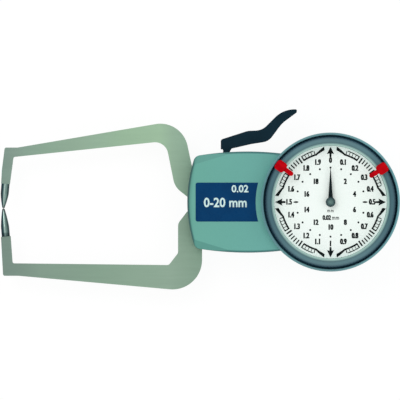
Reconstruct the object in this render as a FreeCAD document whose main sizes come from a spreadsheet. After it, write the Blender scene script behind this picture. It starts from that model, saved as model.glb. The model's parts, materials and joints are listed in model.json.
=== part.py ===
import FreeCAD, Part
import math
import os
import re

# Outside dial caliper gauge, lying on its back with the dial up.
# The origin is on the back plane under the dial's axis: +X points from the contacts to the dial,
# +Y points to the thumb lever and +Z is up through the dial.

Vector = FreeCAD.Vector

SIZES = [
    # Heights, from the back upwards
    ("floor_thickness", 2.0, "flat walls of the shells"),
    ("rear_room", 7.0, "hollow under the arms"),
    ("arm_thickness", 3.0, "both arms"),
    ("lever_thickness", 2.6, "thumb lever"),
    ("front_room", 3.4, "hollow over the lever"),
    ("flange_thickness", 1.2, "flange of the case ring"),
    ("rim_height", 4.0, "case ring over the housing"),
    ("lip_height", 0.95, "lip of the bezel under the dial"),
    ("dial_thickness", 0.8, "dial face"),
    ("pointer_room", 2.9, "space between the dial and the crystal"),
    ("crystal_thickness", 1.1, "crystal"),
    ("retainer_thickness", 0.5, "ring that holds the crystal"),
    # Round the dial's axis, from the outside inwards
    ("case_radius", 30.0, "pot of the housing and case ring"),
    ("rim_width", 1.1, "case ring round the groove"),
    ("groove_width", 0.9, "groove between the case ring and the bezel"),
    ("bezel_land", 2.5, "top face and bevel of the bezel"),
    ("crystal_seat", 1.2, "ledge of the bezel under the crystal"),
    ("retainer_width", 1.1, "ring that holds the crystal"),
    ("dial_lip", 0.9, "lip of the bezel under the dial"),
    ("flange_step", 0.4, "flange of the case ring inside the bezel's lip"),
    ("spigot_width", 1.0, "spigot of the case ring in the housing"),
    ("spigot_depth", 1.5, "spigot of the case ring in the housing"),
    ("bezel_foot", 1.0, "height of the bezel's guiding foot"),
    ("bezel_clearance", 0.05, "running fit of the bezel and the markers"),
    ("bezel_bevel", 0.9, "outer bevel of the bezel"),
    ("ring_bevel", 0.5, "outer bevel of the case ring"),
    ("knurl_depth", 0.3, "grooves of the bezel's grip band"),
    ("knurl_count", 120, "grooves of the bezel's grip band"),
    # Housing
    ("wall_thickness", 2.2, "side walls of the shells"),
    ("grip_reach", 16.5, "leftmost point of the grip's curved end, from the pivot"),
    ("grip_bulge", 3.4, "bulge of the grip's curved end"),
    ("grip_corner_y", 19.9, "half height of the grip at its corners"),
    ("grip_barrel", 1.95, "swelling of the grip's long sides"),
    ("grip_root_swell", 0.6, "swelling of the grip's long sides that is left inside the pot"),
    ("grip_crown_offset", 9.3, "widest place of the grip, from the pivot"),
    ("grip_overlap", 13.0, "part of the grip inside the pot"),
    ("corner_radius", 3.1, "upright corners of the grip"),
    ("edge_radius", 1.8, "rounded edges of the back"),
    ("front_edge_radius", 1.2, "rounded edge of the grip's top face"),
    ("facet_length", 17.0, "sloping facets at the corners of the top face"),
    ("facet_width", 3.6, "sloping facets at the corners of the top face"),
    ("facet_drop", 0.9, "depth of the facets at the corners"),
    ("boss_radius", 2.4, "screw bosses"),
    ("boss_bite", 0.3, "bosses of the pot in its side wall"),
    ("boss_angle", 34.6, "bosses of the pot, in degrees from the gauge's long axis"),
    ("screw_radius", 0.9, "shanks of the housing screws"),
    ("screw_head_radius", 1.9, "heads of the housing screws"),
    ("screw_head_height", 1.2, "sinks of the housing screws"),
    ("small_screw_radius", 0.72, "shanks of the small screws"),
    ("small_head_radius", 1.35, "heads of the small screws"),
    ("small_head_height", 0.8, "heads of the small screws"),
    ("rear_boss_run", 6.0, "left boss of the grip, from the pivot"),
    ("fore_boss_run", 13.0, "right boss of the grip, from the pivot"),
    ("boss_drop", 2.8, "bosses of the grip inside its corners"),
    ("arm_screw_run", 4.3, "right screw of the lower arm, from the pivot"),
    ("arm_screw_pitch", 11.0, "screws of the lower arm"),
    ("arm_screw_depth", 4.0, "screws of the lower arm in the housing"),
    ("lever_screw_margin", 2.0, "upper screw of the lever, from the ear's end"),
    ("lever_screw_pitch", 4.4, "screws of the lever"),
    ("sector_screw_margin", 3.5, "screws of the sector, from the tail's end"),
    ("sector_screw_pitch", 4.4, "screws of the sector"),
    ("sector_screw_step", 1.4, "left screw of the sector below the pivot"),
    ("screw_grip", 0.3, "screws short of the arms' underside"),
    ("housing_screw_depth", 4.0, "housing screws in the front shell"),
    ("slot_width", 0.5, "driver slots in the screw heads"),
    ("slot_depth", 0.5, "driver slots in the screw heads"),
    # Label
    ("label_margin", 3.6, "left edge of the label plate, from the grip's end"),
    ("label_gap", 2.3, "hollow right edge of the label plate, from the case ring"),
    ("label_half_height", 8.4, "half height of the label plate"),
    ("label_corner", 0.9, "left corners of the label plate"),
    ("label_thickness", 0.6, "label plate"),
    ("label_recess", 0.5, "depth of the label's recess"),
    # Pivot and arms
    ("idler_bend", 153.0, "angle at the idler between the pivot and the dial's axis, in degrees"),
    ("pivot_drop", 2.7, "pivot and contact tips below the gauge's long axis"),
    ("arm_clearance", 0.2, "slots of the housing round the arms"),
    ("arm_swing", 12.0, "full travel of the moving arm in degrees"),
    ("hub_radius", 6.5, "hub of the moving arm"),
    ("bush_radius", 3.0, "outside of the pivot bush"),
    ("pin_radius", 2.0, "pivot pin"),
    ("pin_clearance", 0.03, "running fits of the arbors and the pivot"),
    ("pin_end", 5.0, "pivot pin and its hole over the arms"),
    ("ear_width", 6.0, "ear of the moving arm that carries the lever"),
    ("ear_height", 19.7, "end of the ear, from the pivot"),
    ("tail_half_width", 3.2, "tail of the moving arm"),
    ("tail_end", 22.5, "end of the tail, from the pivot"),
    ("arm_reach", 96.1, "contact tips, from the pivot"),
    ("small_rounding", 0.8, "corners of the legs"),
    ("tail_rounding", 1.5, "corners of the arms in the housing"),
    ("leg_rounding", 4.0, "outer corners of the legs"),
    ("upper_leg_width", 3.8, "leg at the upper contact's seat"),
    ("upper_leg_lean", 0.6, "top of the upper leg's outer edge, inwards from the tips"),
    ("upper_leg_inside", 4.4, "inner corner of the upper leg, from the tips"),
    ("upper_knee_out", 0.67, "bend in the upper leg's outer edge, outwards from the tips"),
    ("upper_knee_rise", 16.3, "bend in the upper leg's outer edge, from the pivot"),
    ("upper_leg_rise", 26.3, "top of the upper leg, from the pivot"),
    ("upper_leg_run", 6.2, "outer corner of the upper leg, from the contact"),
    ("upper_leg_depth", 4.1, "upper bar at the leg"),
    ("upper_bend_run", 18.8, "outer corner of the upper bend, from the pivot"),
    ("upper_bend_rise", 38.4, "outer corner of the upper bend, from the pivot"),
    ("upper_bend_radius", 12.0, "outer radius of the upper bend"),
    ("upper_throat_run", 25.9, "inner corner of the upper bend, from the pivot"),
    ("upper_throat_rise", 29.1, "inner corner of the upper bend, from the pivot"),
    ("upper_throat_radius", 5.7, "inner radius of the upper bend"),
    ("upper_neck_run", 13.4, "right edge of the neck, from the pivot"),
    ("upper_neck_rise", 13.2, "right edge of the neck, from the pivot"),
    ("upper_waist_run", 21.9, "left edge of the neck, from the pivot"),
    ("upper_waist_rise", 9.3, "left edge of the neck, from the pivot"),
    ("upper_waist_radius", 8.0, "left edge of the neck"),
    ("lower_leg_width", 4.2, "leg at the lower contact's seat"),
    ("lower_leg_fall", 29.2, "bottom of the lower leg, from the pivot"),
    ("lower_leg_run", 6.5, "outer corner of the lower leg, from the contact"),
    ("lower_leg_depth", 5.4, "lower bar at the leg"),
    ("lower_leg_lean", 0.1, "bottom of the lower leg's outer edge, outwards from the tips"),
    ("lower_leg_inside", 4.0, "inner corner of the lower leg, from the tips"),
    ("lower_bend_run", 10.1, "outer corner of the lower bend, from the pivot"),
    ("lower_bend_fall", 36.3, "outer corner of the lower bend, from the pivot"),
    ("lower_bend_radius", 12.8, "outer radius of the lower bend"),
    ("lower_throat_run", 20.5, "inner corner of the lower bend, from the pivot"),
    ("lower_throat_fall", 24.55, "inner corner of the lower bend, from the pivot"),
    ("lower_throat_cut_run", 4.0, "slanting inner corner of the lower bend"),
    ("lower_throat_cut_rise", 5.2, "slanting inner corner of the lower bend"),
    ("lower_throat_radius", 1.6, "ends of the slanting inner corner"),
    ("lower_nose_run", 13.0, "nose of the lower arm beside the pivot"),
    ("lower_nose_width", 3.5, "nose of the lower arm beside the pivot"),
    ("lower_nose_fall", 1.5, "nose of the lower arm below the pivot"),
    ("lower_tail_run", 7.9, "end of the lower arm's tail, from the pivot"),
    ("lower_tail_fall", 11.8, "middle of the lower arm's tail, below the pivot"),
    ("lower_tail_half_width", 4.1, "tail of the lower arm"),
    # Contacts
    ("contact_gap", 0.08, "gap between the tips with the arm at rest"),
    ("contact_radius", 1.8, "seat of the contacts"),
    ("contact_tip_radius", 0.6, "rounded tip"),
    ("contact_collar", 4.3, "straight part of the contacts at the seat"),
    ("pin_seat_radius", 0.9, "pin of the contact in the arm's leg"),
    ("pin_seat_length", 5.0, "pin of the contact in the arm's leg"),
    ("contact_swell", 0.12, "convex side of the contacts' taper"),
    ("contact_tilt", 5.0, "lean of the contacts' seats from their tips, in degrees"),
    ("upper_contact_length", 10.65, "upper contact, from its seat to the tip"),
    ("lower_contact_length", 12.25, "lower contact, from its seat to the tip"),
    # Lever
    ("stem_offset", 0.3, "stem of the lever to the right of the pivot"),
    ("stem_width", 2.8, "stem of the lever"),
    ("stem_foot", 10.7, "lower end of the lever's stem, from the pivot"),
    ("lever_shoulder", 1.0, "step from the stem to the lever's left edge"),
    ("lever_under", 25.4, "underside of the lever at the stem, from the pivot"),
    ("lever_over", 29.8, "top of the lever's left corner, from the pivot"),
    ("lever_brow_run", 9.7, "bend of the lever's upper edge, from the pivot"),
    ("lever_brow_rise", 33.6, "bend of the lever's upper edge, from the pivot"),
    ("lever_brow_radius", 8.0, "bend of the lever's upper edge"),
    ("lever_back_run", 15.8, "dip of the lever's upper edge, from the pivot"),
    ("lever_back_rise", 33.8, "dip of the lever's upper edge, from the pivot"),
    ("lever_back_radius", 7.0, "dip of the lever's upper edge"),
    ("lever_hook_run", 24.9, "rise of the lever's upper edge, from the pivot"),
    ("lever_hook_radius", 12.0, "rise of the lever's upper edge"),
    ("lever_tip_run", 31.0, "tip of the lever, from the pivot"),
    ("lever_tip_rise", 42.9, "tip of the lever, from the pivot"),
    ("lever_tip_width", 1.5, "tip of the lever"),
    ("lever_palm_run", 24.55, "hollow under the lever's tip, from the pivot"),
    ("lever_palm_rise", 36.7, "hollow under the lever's tip, from the pivot"),
    ("lever_palm_radius", 14.0, "hollow under the lever's tip"),
    ("lever_front_run", 18.75, "dip of the lever's lower edge, from the pivot"),
    ("lever_front_rise", 28.9, "dip of the lever's lower edge, from the pivot"),
    ("lever_front_radius", 6.0, "dip of the lever's lower edge"),
    ("lever_belly_run", 11.0, "bend of the lever's lower edge, from the pivot"),
    ("lever_belly_rise", 27.65, "bend of the lever's lower edge, from the pivot"),
    ("stem_travel", 6.3, "opening of the housing to the right of the lever's stem"),
    # Markers
    ("marker_left_angle", 144.3, "left marker round the dial, in degrees"),
    ("marker_right_angle", 33.0, "right marker round the dial, in degrees"),
    ("marker_width", 4.5, "block of a marker"),
    ("marker_corner", 1.2, "upright corners of a marker's block"),
    ("marker_thickness", 1.5, "block of a marker over the bezel"),
    ("marker_play", 0.1, "marker's leg from the wall of the groove"),
    ("marker_overhang", 0.1, "marker's block inside the dial's edge"),
    ("leg_depth", 1.2, "legs of the markers in the groove"),
    ("finger_width", 2.0, "finger of a marker"),
    ("finger_length", 4.2, "finger of a marker over the crystal"),
    ("finger_thickness", 0.9, "finger of a marker"),
    # Movement
    ("module_length", 0.2, "module of all gears"),
    ("sector_teeth", 320, "teeth of the sector if it went all round"),
    ("idler_pinion_teeth", 16, "pinion that the sector drives"),
    ("idler_wheel_teeth", 120, "wheel on the idler arbor"),
    ("centre_pinion_teeth", 8, "pinion on the centre arbor"),
    ("cannon_teeth", 13, "pinion of the centre arbor in the motion work"),
    ("motion_wheel_teeth", 39, "motion wheel"),
    ("motion_pinion_teeth", 12, "pinion of the motion wheel"),
    ("coarse_wheel_teeth", 40, "wheel of the short pointer"),
    ("motion_angle", 45.0, "direction of the motion wheel from the dial's axis"),
    ("plate_margin", 1.0, "edge of the plates inside the case ring's flange"),
    ("plate_thickness", 1.2, "plates of the movement"),
    ("rear_plate_gap", 2.0, "rear plate over the floor"),
    ("front_plate_drop", 1.8, "top of the front plate below the housing's top"),
    ("pillar_radius", 1.3, "pillars between the plates"),
    ("pillar_margin", 2.5, "pillars inside the plates' edge"),
    ("pillar_start", 10.0, "direction of the first pillar in degrees"),
    ("pillar_count", 3, "pillars between the plates"),
    ("arbor_radius", 0.45, "arbors of the movement"),
    ("pipe_radius", 1.0, "pipe of the coarse wheel"),
    ("dial_hole", 1.6, "hole of the dial face"),
    ("sector_thickness", 1.0, "toothed sector"),
    ("sector_foot", 12.0, "foot of the sector, from the pivot"),
    ("wheel_gap", 1.2, "idler wheel over the sector"),
    ("wheel_thickness", 0.6, "wheels of the movement"),
    ("pinion_length", 1.8, "pinions of the movement"),
    ("motion_gap", 0.4, "motion wheel over the front plate"),
    ("coarse_gap", 0.5, "coarse wheel over the motion wheel"),
    ("pointer_gap", 0.5, "short pointer over the dial"),
    ("pointer_step", 0.7, "long pointer over the short one"),
    ("pointer_eye", 1.6, "round eyes of the pointers"),
    ("short_pointer_margin", 15.7, "tip of the short pointer inside the dial's edge"),
    ("long_pointer_margin", 9.0, "tip of the long pointer inside the dial's edge"),
    ("short_pointer_width", 1.5, "short pointer at its eye"),
    ("long_pointer_width", 2.0, "long pointer at its eye"),
    ("pointer_point", 0.12, "points of the pointers"),
    ("pointer_thickness", 0.3, "both pointers"),
    ("cap_radius", 2.1, "cap over the pointers"),
    ("cap_height", 0.75, "cap over the pointers"),
    ("cap_bevel", 0.35, "rim of the cap"),
    ("arbor_end", 0.4, "end of the centre arbor over the long pointer"),
    ("plate_screw_depth", 2.6, "screws of the front plate in the pillars"),
    # Spring and stop
    ("spring_offset", 12.3, "line of the return spring, from the pivot"),
    ("spring_drop", 2.4, "axis of the return spring below the arms"),
    ("spring_radius", 1.6, "outside of the spring's turns"),
    ("spring_wire", 0.5, "wire of the spring"),
    ("spring_length", 17.0, "spring between the axes of its post and pin"),
    ("spring_pin_rise", 1.7, "pin of the spring on the arm's tail, over the pivot"),
    ("post_radius", 0.8, "post and pin of the spring"),
    ("post_end", 1.2, "post and pin past the spring's axis"),
    ("eye_play", 0.1, "eyes of the spring round its post and pin"),
    ("hook_length", 2.6, "hooks at the spring's ends"),
    ("rivet_radius", 0.48, "riveted end of the spring's pin"),
    ("stop_radius", 1.2, "stop pin"),
    ("stop_reach", 18.3, "stop pin, from the pivot"),
    ("stop_gap", 0.06, "play at the end of the travel"),
]

PLACES = [
    ("arm_level", "floor_thickness + rear_room", "underside of both arms"),
    ("arm_top", "arm_level + arm_thickness", "top of both arms"),
    ("parting_level", "arm_level + arm_thickness / 2", "parting plane between the shells"),
    ("lever_top", "arm_top + lever_thickness", "top of the lever"),
    ("inner_top", "lever_top + front_room", "inside of the front shell's top"),
    ("housing_height", "inner_top + floor_thickness", "top face of the grip"),
    ("flange_top", "housing_height + flange_thickness", "bearing of the bezel"),
    ("ring_height", "housing_height + rim_height", "top of the case ring"),
    ("bezel_level", "flange_top + bezel_clearance", "underside of the bezel"),
    ("dial_level", "bezel_level + lip_height", "underside of the dial face"),
    ("dial_top", "dial_level + dial_thickness", "face of the dial"),
    ("crystal_level", "dial_top + pointer_room", "underside of the crystal"),
    ("crystal_top", "crystal_level + crystal_thickness", "top of the crystal"),
    ("bezel_top", "crystal_top + retainer_thickness", "top of the bezel"),
    ("marker_level", "bezel_top + bezel_clearance", "underside of the markers' blocks"),
    ("ring_bore", "case_radius - rim_width", "inside of the case ring"),
    ("bezel_radius", "ring_bore - groove_width", "outside of the bezel"),
    ("crystal_radius", "bezel_radius - bezel_land", "crystal"),
    ("dial_radius", "crystal_radius - crystal_seat", "dial face"),
    ("lip_radius", "dial_radius - dial_lip", "inside of the bezel's lip"),
    ("flange_radius", "lip_radius - flange_step", "inside of the case ring's flange"),
    ("retainer_bore", "crystal_radius - retainer_width", "inside of the ring that holds the crystal"),
    ("marker_inside", "dial_radius - marker_overhang", "inner end of the markers' blocks"),
    ("marker_outside", "ring_bore - marker_play", "outside of the markers"),
    ("finger_reach", "marker_inside - finger_length", "end of the markers' fingers"),
    ("plate_radius", "flange_radius - plate_margin", "plates of the movement"),
    ("pillar_circle", "plate_radius - pillar_margin", "pillars, from the dial's axis"),
    ("rear_plate_level", "floor_thickness + rear_plate_gap", "underside of the rear plate"),
    ("rear_plate_top", "rear_plate_level + plate_thickness", "top of the rear plate"),
    ("front_plate_top", "housing_height - front_plate_drop", "top of the front plate"),
    ("front_plate_level", "front_plate_top - plate_thickness", "underside of the front plate"),
    ("sector_top", "arm_top + sector_thickness", "top of the sector"),
    ("wheel_level", "sector_top + wheel_gap", "underside of the idler wheel"),
    ("motion_level", "front_plate_top + motion_gap", "underside of the motion wheel"),
    ("coarse_level", "motion_level + wheel_thickness + coarse_gap", "underside of the coarse wheel"),
    ("short_pointer_level", "dial_top + pointer_gap", "underside of the short pointer"),
    ("long_pointer_level", "short_pointer_level + pointer_thickness + pointer_step",
     "underside of the long pointer"),
    ("arbor_top", "long_pointer_level + pointer_thickness + arbor_end", "end of the centre arbor"),
    ("short_pointer_reach", "dial_radius - short_pointer_margin", "tip of the short pointer"),
    ("long_pointer_reach", "dial_radius - long_pointer_margin", "tip of the long pointer"),
    ("spring_level", "arm_level - spring_drop", "axis of the return spring"),
    ("sector_radius", "module_length * sector_teeth / 2", "pitch circle of the sector"),
    ("idler_reach", "sector_radius + module_length * idler_pinion_teeth / 2", "idler, from the pivot"),
    ("idler_offset", "module_length * (idler_wheel_teeth + centre_pinion_teeth) / 2",
     "idler, from the dial's axis"),
    ("pivot_distance",
     "sqrt(idler_reach ^ 2 + idler_offset ^ 2 - 2 * idler_reach * idler_offset * cos(idler_bend))",
     "pivot, from the dial's axis"),
    ("pivot_x", "-sqrt(pivot_distance ^ 2 - pivot_drop ^ 2)", "pivot of the moving arm"),
    ("pivot_y", "-pivot_drop", "pivot of the moving arm"),
    ("contact_x", "pivot_x - arm_reach", "tips of the contacts"),
    ("contact_level", "arm_level + arm_thickness / 2", "axis of the contacts"),
    ("upper_seat_x", "contact_x + upper_contact_length * sin(contact_tilt)", "end of the upper arm's leg"),
    ("upper_seat_y", "-pivot_drop + upper_contact_length * cos(contact_tilt)", "end of the upper arm's leg"),
    ("lower_seat_x", "contact_x + lower_contact_length * sin(contact_tilt)", "end of the lower arm's leg"),
    ("lower_seat_y", "-pivot_drop - lower_contact_length * cos(contact_tilt)", "end of the lower arm's leg"),
    ("spring_x", "pivot_x + spring_offset", "line of the return spring"),
    ("spring_foot", "-pivot_drop + spring_pin_rise", "pin of the spring"),
    ("spring_top", "spring_foot + spring_length", "post of the spring"),
    ("grip_left", "grip_reach - pivot_x", "leftmost point of the grip"),
    ("grip_corner_x", "grip_left - grip_bulge", "corners of the grip"),
    ("grip_crown_y", "grip_corner_y + grip_barrel", "half height of the grip at its widest place"),
    ("grip_crown_x", "-pivot_x - grip_crown_offset", "widest place of the grip"),
    ("grip_root_x", "case_radius - grip_overlap", "where the grip ends inside the pot"),
    ("label_left", "grip_left - label_margin", "left edge of the label plate"),
    ("label_radius", "case_radius + label_gap", "hollow right edge of the label plate"),
    ("boss_circle", "case_radius - wall_thickness - boss_radius + boss_bite", "bosses of the pot"),
    ("leg_level", "ring_height - leg_depth + bezel_clearance", "feet of the markers' legs"),
    ("stem_left", "pivot_x + stem_offset - stem_width / 2", "stem of the lever"),
    ("stem_right", "stem_left + stem_width", "stem of the lever"),
]

doc = FreeCAD.newDocument("DialCaliperGauge")
sheet = doc.addObject("Spreadsheet::Sheet", "Sizes")
for row, (alias, number, meaning) in enumerate(SIZES, 1):
    sheet.set(f"A{row}", meaning)
    sheet.set(f"B{row}", str(number))
    sheet.setAlias(f"B{row}", alias)
doc.recompute()

places = doc.addObject("App::VarSet", "Places")
PLACE_NAMES = {name for name, formula, meaning in PLACES}
NODES = []


def bound(text):
    """An expression whose words with an underscore are names in the sheet or among the places."""
    def owner(word):
        name = word.group()
        return ("Places." if name in PLACE_NAMES else "Sizes.") + name
    return re.sub(r"\b[a-z]+(_[a-z]+)+\b", owner, str(text))


for name, formula, meaning in PLACES:
    places.addProperty("App::PropertyFloat", name, "Places", meaning)
for name, formula, meaning in PLACES:
    places.setExpression(name, bound(formula))
doc.recompute()


class Values:
    """Every size and place by name, as a number."""

    def __getattr__(self, name):
        return getattr(places if name in PLACE_NAMES else sheet, name)


size = Values()


# Objects bound to the sheet

def place(thing, x="0", y="0", z="0"):
    """Bind the place of an object."""
    for axis, text in zip("xyz", (x, y, z)):
        thing.setExpression(f"Placement.Base.{axis}", bound(text))
    return thing


def primitive(kind, name, at=("0", "0", "0"), **sizes):
    """A Part primitive such as Box or Cylinder with its sizes bound."""
    solid = doc.addObject("Part::" + kind, name)
    for prop, text in sizes.items():
        solid.setExpression(prop, bound(text))
    return place(solid, *at)


def rod(name, radius, low, high, x="0", y="0"):
    """An upright cylinder between two levels."""
    return primitive("Cylinder", name, (x, y, low), Radius=radius, Height=f"{high} - ({low})")


def fuse(name, *solids):
    """Several solids as one."""
    joined = doc.addObject("Part::MultiFuse", name)
    joined.Shapes = list(solids)
    return joined


def cut(name, base, *tools):
    """A solid less one or more tools."""
    result = doc.addObject("Part::Cut", name)
    result.Base = base
    result.Tool = tools[0] if len(tools) == 1 else fuse(name + "_tools", *tools)
    return result


def node(thing, label):
    """Mark an object as one physical piece."""
    thing.Label = label
    NODES.append(thing)
    return thing


def plane(body, role):
    """One of the origin planes of a body."""
    return [feature for feature in body.Origin.OriginFeatures if feature.Role == role][0]


def sketch(body, name, edges, role="XY_Plane", level="0"):
    """A sketch on an origin plane of its body, at a level along the plane's normal."""
    drawn = body.newObject("Sketcher::SketchObject", name)
    drawn.AttachmentSupport = [(plane(body, role), "")]
    drawn.MapMode = "FlatFace"
    drawn.setExpression("AttachmentOffset.Base.z", bound(level))
    drawn.addGeometry(edges)
    return drawn


def pad(body, name, edges, thickness, level="0"):
    """Add an extruded outline to a body."""
    feature = body.newObject("PartDesign::Pad", name)
    feature.Profile = sketch(body, name + "_sketch", edges, level=level)
    feature.setExpression("Length", bound(thickness))
    return feature


def pocket(body, name, edges, depth, level="0"):
    """Take an extruded outline out of a body, upwards from a level."""
    feature = body.newObject("PartDesign::Pocket", name)
    feature.Profile = sketch(body, name + "_sketch", edges, level=level)
    feature.Reversed = True
    feature.setExpression("Length", bound(depth))
    return feature


def plate(name, edges, thickness, level, x="0", y="0"):
    """A flat piece cut from sheet."""
    body = doc.addObject("PartDesign::Body", name)
    pad(body, name + "_pad", edges, thickness)
    return place(body, x, y, level)


def turned(name, profile, x="0", y="0", z="0"):
    """A turned piece: a closed profile of radius and height, revolved about the upright axis."""
    body = doc.addObject("PartDesign::Body", name)
    drawn = sketch(body, name + "_profile", polygon(profile), role="XZ_Plane")
    feature = body.newObject("PartDesign::Revolution", name + "_turned")
    feature.Profile = drawn
    feature.ReferenceAxis = (drawn, ["V_Axis"])
    feature.Angle = 360
    return place(body, x, y, z)


# Outlines

def polygon(points):
    """Straight edges through points, closed."""
    corners = [Vector(x, y, 0) for x, y in points]
    return [Part.LineSegment(a, b) for a, b in zip(corners, corners[1:] + corners[:1])]


def circle(x, y, radius):
    return Part.Circle(Vector(x, y, 0), Vector(0, 0, 1), radius)


def path(start, *steps):
    """Edges from a start point: a step of 2 numbers is a line, one of 4 an arc through a point."""
    here = Vector(*start, 0)
    edges = []
    for step in steps:
        there = Vector(step[-2], step[-1], 0)
        if len(step) == 2:
            edges.append(Part.LineSegment(here, there))
        else:
            edges.append(Part.Arc(here, Vector(step[0], step[1], 0), there))
        here = there
    return edges


def rounded(corners):
    """A closed outline through corners of x, y and rounding radius."""
    steps = []
    count = len(corners)
    for i, (x, y, radius) in enumerate(corners):
        here = Vector(x, y, 0)
        before = Vector(*corners[i - 1][:2], 0)
        after = Vector(*corners[(i + 1) % count][:2], 0)
        to_before = (before - here).normalize()
        to_after = (after - here).normalize()
        if radius == 0:
            steps.append((x, y))
            continue
        half = to_before.getAngle(to_after) / 2
        tangent = radius / math.tan(half)
        middle = (to_before + to_after).normalize() * (radius / math.sin(half) - radius)
        first = here + to_before * tangent
        last = here + to_after * tangent
        steps.append((first.x, first.y))
        steps.append((here.x + middle.x, here.y + middle.y, last.x, last.y))
    return path(steps[0], *steps[1:], steps[0])


def polar(radius, degrees, x=0.0, y=0.0):
    """A point at a radius and direction from a centre."""
    angle = math.radians(degrees)
    return x + radius * math.cos(angle), y + radius * math.sin(angle)


def ring_sector(inner, outer, start, end):
    """An outline between two radii and two directions about the origin."""
    middle = (start + end) / 2
    return path(polar(inner, start), polar(outer, start), polar(outer, middle) + polar(outer, end),
                polar(inner, end), polar(inner, middle) + polar(inner, start))


# Gears

TOOTH_TIP = 0.7         # height of a tooth over the pitch circle, in modules
TOOTH_ROOT = 1.0        # depth of a tooth below the pitch circle, in modules
TIP_SHARE = 0.18        # widths of a tooth as shares of the pitch
ROOT_SHARE = 0.56


def pitch_radius(teeth):
    return size.module_length * teeth / 2


def tooth_points(teeth, direction):
    """The four corners of one tooth of a wheel about the origin."""
    radius = pitch_radius(teeth)
    pitch = 360 / teeth
    tip = radius + TOOTH_TIP * size.module_length
    root = radius - TOOTH_ROOT * size.module_length
    return [polar(root, direction - ROOT_SHARE * pitch / 2), polar(tip, direction - TIP_SHARE * pitch / 2),
            polar(tip, direction + TIP_SHARE * pitch / 2), polar(root, direction + ROOT_SHARE * pitch / 2)]


def gear_outline(teeth, direction):
    """A whole toothed wheel with one tooth in a given direction."""
    points = []
    for k in range(int(teeth)):
        points += tooth_points(teeth, direction + k * 360 / teeth)
    return polygon(points)


def space_direction(teeth, direction):
    """Where a tooth has to stand so that a gap between teeth faces a direction."""
    return direction + 180 / teeth


# Places that follow from the gears

PIVOT = (size.pivot_x, size.pivot_y)
CENTRE_DIRECTION = math.degrees(math.atan2(-size.pivot_y, -size.pivot_x))
IDLER_TURN = math.degrees(math.asin(
    size.idler_offset * math.sin(math.radians(size.idler_bend)) / size.pivot_distance))
MESH_DIRECTION = CENTRE_DIRECTION - IDLER_TURN
IDLER = polar(size.idler_reach, MESH_DIRECTION, *PIVOT)
MOTION_DISTANCE = pitch_radius(size.cannon_teeth + size.motion_wheel_teeth)
MOTION = polar(MOTION_DISTANCE, size.motion_angle)
PILLARS = [polar(size.pillar_circle, size.pillar_start + k * 360 / size.pillar_count)
           for k in range(int(size.pillar_count))]
HOUSING_SCREWS = [(size.pivot_x - size.rear_boss_run, size.grip_corner_y - size.boss_drop),
                  (size.pivot_x + size.fore_boss_run, -size.grip_corner_y + size.boss_drop),
                  polar(size.boss_circle, size.boss_angle), polar(size.boss_circle, -size.boss_angle)]
ARM_SCREW_Y = size.pivot_y - size.lower_tail_fall
FIXED_ARM_SCREWS = [(size.pivot_x + size.arm_screw_run, ARM_SCREW_Y),
                    (size.pivot_x + size.arm_screw_run - size.arm_screw_pitch, ARM_SCREW_Y)]
STEM_MIDDLE = (size.stem_left + size.stem_right) / 2
LEVER_SCREW_Y = size.pivot_y + size.ear_height - size.lever_screw_margin
LEVER_SCREWS = [(STEM_MIDDLE, LEVER_SCREW_Y - size.lever_screw_pitch), (STEM_MIDDLE, LEVER_SCREW_Y)]
SECTOR_SCREW_X = size.pivot_x + size.tail_end - size.sector_screw_margin
SECTOR_SCREWS = [(SECTOR_SCREW_X - size.sector_screw_pitch, size.pivot_y - size.sector_screw_step),
                 (SECTOR_SCREW_X, size.pivot_y + size.small_screw_radius)]


def turned_point(x, y, degrees, about):
    """A point turned about a centre."""
    angle = math.radians(degrees)
    dx = x - about[0]
    dy = y - about[1]
    return (about[0] + dx * math.cos(angle) - dy * math.sin(angle),
            about[1] + dx * math.sin(angle) + dy * math.cos(angle))


STOP = turned_point(size.pivot_x + size.stop_reach,
                    size.pivot_y - size.tail_half_width - size.stop_radius - size.stop_gap,
                    -size.arm_swing, PIVOT)


# Arms

def leg_end(side, width):
    """The two corners of a leg at its contact's seat, square to the contact: outer and inner."""
    tilt = math.radians(size.contact_tilt)
    x = getattr(size, side + "_seat_x")
    y = getattr(size, side + "_seat_y")
    run = width / 2 * math.cos(tilt)
    rise = width / 2 * math.sin(tilt) * (-1 if side == "upper" else 1)
    return (x - run, y - rise, 0), (x + run, y + rise, 0)


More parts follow.
